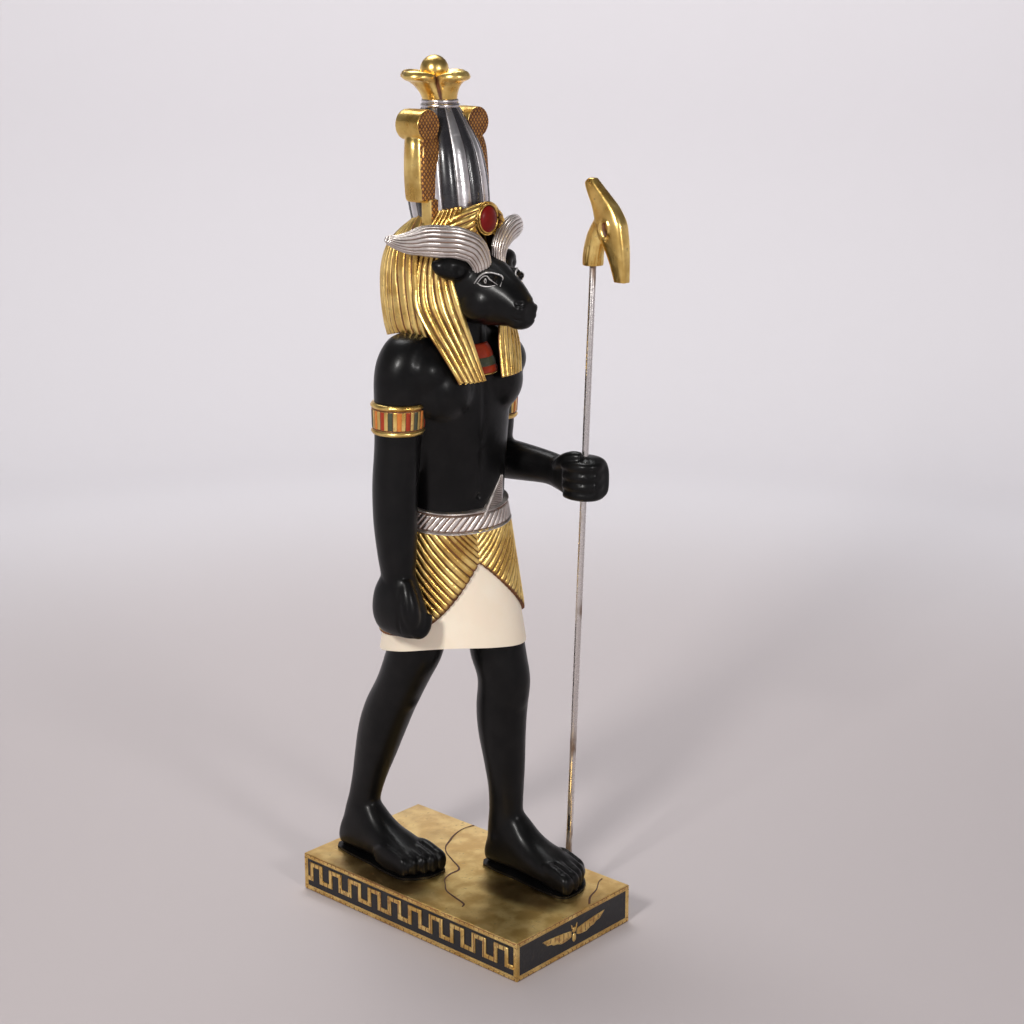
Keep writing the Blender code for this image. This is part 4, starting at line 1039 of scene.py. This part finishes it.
# Collar. Rows of brick red, dark green and brick red enamel lie round the neck inside a thin gilt edge.
# The rows are low rounded steps, cast with the chest.
collar_rows = [(0, 2, 640, 42.5, 47.5, 40), (0, 2, 644, 43, 47, 40), (0, 2.5, 652, 41, 45, 39),
    (0, 3, 661, 38, 42, 37), (0, 4, 674, 31, 37, 32)]


def collar_place(u, v):
    x, y, z, wide, front, back = through(collar_rows, v)
    turn = 2 * pi * u
    row = (max(v - 0.12, 0.0) / 0.88 * 3) % 1
    swell = 1.2 * sin(pi * row) ** 0.5 if v > 0.12 else 1.6
    c, s = cos(turn), sin(turn)
    groove = 0.8 if v > 0.1 and (row < 0.06 or row > 0.94) else 0.0
    return at(x + (wide + swell) * c, y + ((back if s > 0 else front) + swell) * s, z), groove


bm = closed(160, 60, collar_place)
for face in bm.faces:
    v = on_grid(bm, face)[1]
    if v > 0.12:
        face.material_index = 2 if 0.12 + 0.88 / 3 < v < 0.12 + 1.76 / 3 else 1
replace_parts(keep("collar", bm, gold, enamels[0], enamels[1]), "figure")

# Rod. A straight silvered rod passes through the left fist and stands in a hole in the plinth.
# Its silver is mottled brown and darker towards the foot.
rod_radius = 0.004
in_plinth, in_head = 0.012, 0.022
rod_silver, tint = new_finish("rod_silver")
x, y, z = tint.axes()
# The silver darkens towards the foot of the rod.
near_foot = 1.0 - z.ramp(0.05, 0.14)
mottle_and_foot_darkening = (tint.cloud(60, 5, (1, 1, 0.35)) + near_foot * 0.22).ramp(0.50, 0.72)
lay(rod_silver, Base_Color=mottle_and_foot_darkening.mix((0.72, 0.68, 0.66), (0.20, 0.13, 0.09)), Metallic=1.0 - mottle_and_foot_darkening * 0.6,
    Roughness=0.22 + mottle_and_foot_darkening * 0.25 + tint.cloud(200, 2) * 0.1,
    Normal=tint.relief(tint.cloud(260, 3), 0.0002))
foot_point, top_point = at(rod_x, rod_y(0), 0), at(rod_x, rod_y(764), 764)
ahead = (top_point - foot_point).normalized()
start, finish = foot_point - ahead * in_plinth, top_point + ahead * in_head
bm = bmesh.new()
bmesh.ops.create_cone(bm, cap_ends=True, segments=48, radius1=rod_radius, radius2=rod_radius,
                      depth=(finish - start).length)
soften(bm, [edge for edge in bm.edges if edge.calc_face_angle(0) > sharp_fold], 0.0004)
turned = Vector((0, 0, 1)).rotation_difference(ahead).to_matrix().to_4x4()
bmesh.ops.transform(bm, matrix=Matrix.Translation((start + finish) / 2) @ turned, verts=bm.verts)
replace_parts(keep("rod", bm, rod_silver, smooth=40, slot="rod_silver"), "sceptre_rod")

# Sceptre head. A slim gilt beast's head with a square-cut ear end looks down over the top of the rod.
# It is cast in one with its fluted neck, and its long eyes are cut in, with a dark glaze in the cuts that is
# partly painted shade.
flutes = 14
neck_rows = [(-121, 764, 12, 12, 12), (-121, 768, 12.5, 12.5, 12.5), (-122, 780, 12, 12.5, 13),
             (-127, 800, 10.5, 13, 13), (-133, 818, 8, 12, 9)]
head_rows = [(-119, 864, 5, 5, 3.5), (-120, 858, 7, 9.5, 9.5), (-128, 846, 8, 14.5, 13),
             (-138, 832, 9.5, 18.5, 16), (-147, 816, 11, 19, 20), (-151, 802, 11, 18, 19),
             (-156, 786, 10, 15, 15), (-160, 768, 8.5, 12, 11), (-164, 748, 7, 8.5, 8.5)]
bm = bmesh.new()
for along, rows, power in ((60, neck_rows, 2.0), (80, head_rows, 3.4)):
    press(bm, 48, along, hoops([(rod_x, *row) for row in rows], power))
bm = blend(bm, 0.9, 5)
cuts = []
for side in (-1, 1):
    out = rod_x + side * 11
    eye = [(out, -144 - 7.5 * sin(a) - 2 * cos(a), 807 + 11 * cos(a)) for a in turns(13)]
    cuts += [([(out, -143, 813), (out, -144, 807), (out, -147, 801)], 4.2, 3.4), (eye, 1.4, -1.6),
             ([(out, -160, 762), (out, -168, 752)], 1.4, 1.2)]
for k in range(flutes):
    turn = 2 * pi * k / flutes
    c, s = cos(turn), sin(turn)
    cuts.append(([(rod_x + 12 * c, -121 + 12 * s, 766), (rod_x + 11.5 * c, -124 + 13 * s, 786)], 1.0, 0.7))
carve(bm, cuts)
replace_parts(keep("sceptre_head", bm, gold, smooth=180, slot="head_gold"), "sceptre_head")

# Surroundings. A plain pale floor that curves up into a plain wall all round, in soft light from the left.
floor_paint, tint = new_finish("floor_paint")
x, y, z = tint.axes()
far_off = (x * x + y * y).ramp(0.5, 5.0)
lay(floor_paint, Base_Color=far_off.mix((0.48, 0.435, 0.44), (0.70, 0.675, 0.70)), Roughness=0.8,
    Normal=tint.relief(tint.cloud(30, 2), 0.0001))
bm = bmesh.new()
bend, room = 0.8, 3.2


def bowl_place(u, v):
    turn = 2 * pi * u
    run = 4.6 * v
    if run < room - bend:
        reach, tall = run, 0.0
    else:
        angle = min((run - room + bend) / bend, pi / 2)
        reach = room - bend + bend * sin(angle)
        tall = bend * (1 - cos(angle)) + max(0.0, run - room + bend - bend * pi / 2)
    return Vector((reach * cos(turn), reach * sin(turn), tall - 0.0002)), 0.0


press(bm, 96, 60, bowl_place, ends=False)
smooth_mesh("floor", bm, floor_paint)

world = bpy.data.worlds.new("studio")
bpy.context.scene.world = world
world.use_nodes = True
world.node_tree.nodes["Background"].inputs["Color"].default_value = (0.80, 0.78, 0.80, 1)
world.node_tree.nodes["Background"].inputs["Strength"].default_value = 0.16


def lamp(name, spot, target, size, watts, colour=(1, 1, 1)):
    light = bpy.data.lights.new(name, "AREA")
    light.shape = "RECTANGLE"
    light.size, light.size_y = size
    light.energy = watts
    light.color = colour
    holder = bpy.data.objects.new(name, light)
    bpy.context.scene.collection.objects.link(holder)
    holder.location = spot
    holder.rotation_euler = (Vector(target) - Vector(spot)).to_track_quat("-Z", "Y").to_euler()


lamp("key", (-2.25, -0.55, 1.9), (0, 0, 0.55), (0.36, 0.42), 44, (1.0, 0.98, 0.95))
lamp("fill", (-0.5, -2.5, 1.6), (0, 0, 0.55), (0.34, 0.42), 19, (1.0, 0.98, 0.97))
lamp("top", (0.4, 0.9, 2.7), (0, 0, 0.5), (1.3, 1.3), 30)
lamp("wall", (0.7, 0.6, 2.7), (2.6, 2.3, 1.1), (1.5, 1.5), 48, (0.99, 1.0, 1.0))

shot = bpy.data.cameras.new("photo_angle")
shot.lens = 66.797
shot.sensor_width = 36
camera = bpy.data.objects.new("photo_angle", shot)
bpy.context.scene.collection.objects.link(camera)
right = Vector((0.6707, -0.7417, 0))
up = Vector((0.1927, 0.1742, 0.9657))
back = Vector((-0.7163, -0.6477, 0.2598))
camera.matrix_world = Matrix((right, up, back)).transposed().to_4x4()
camera.location = (-1.5933, -1.5232, 1.1092)
bpy.context.scene.camera = camera
bpy.context.scene.view_settings.view_transform = "Standard"
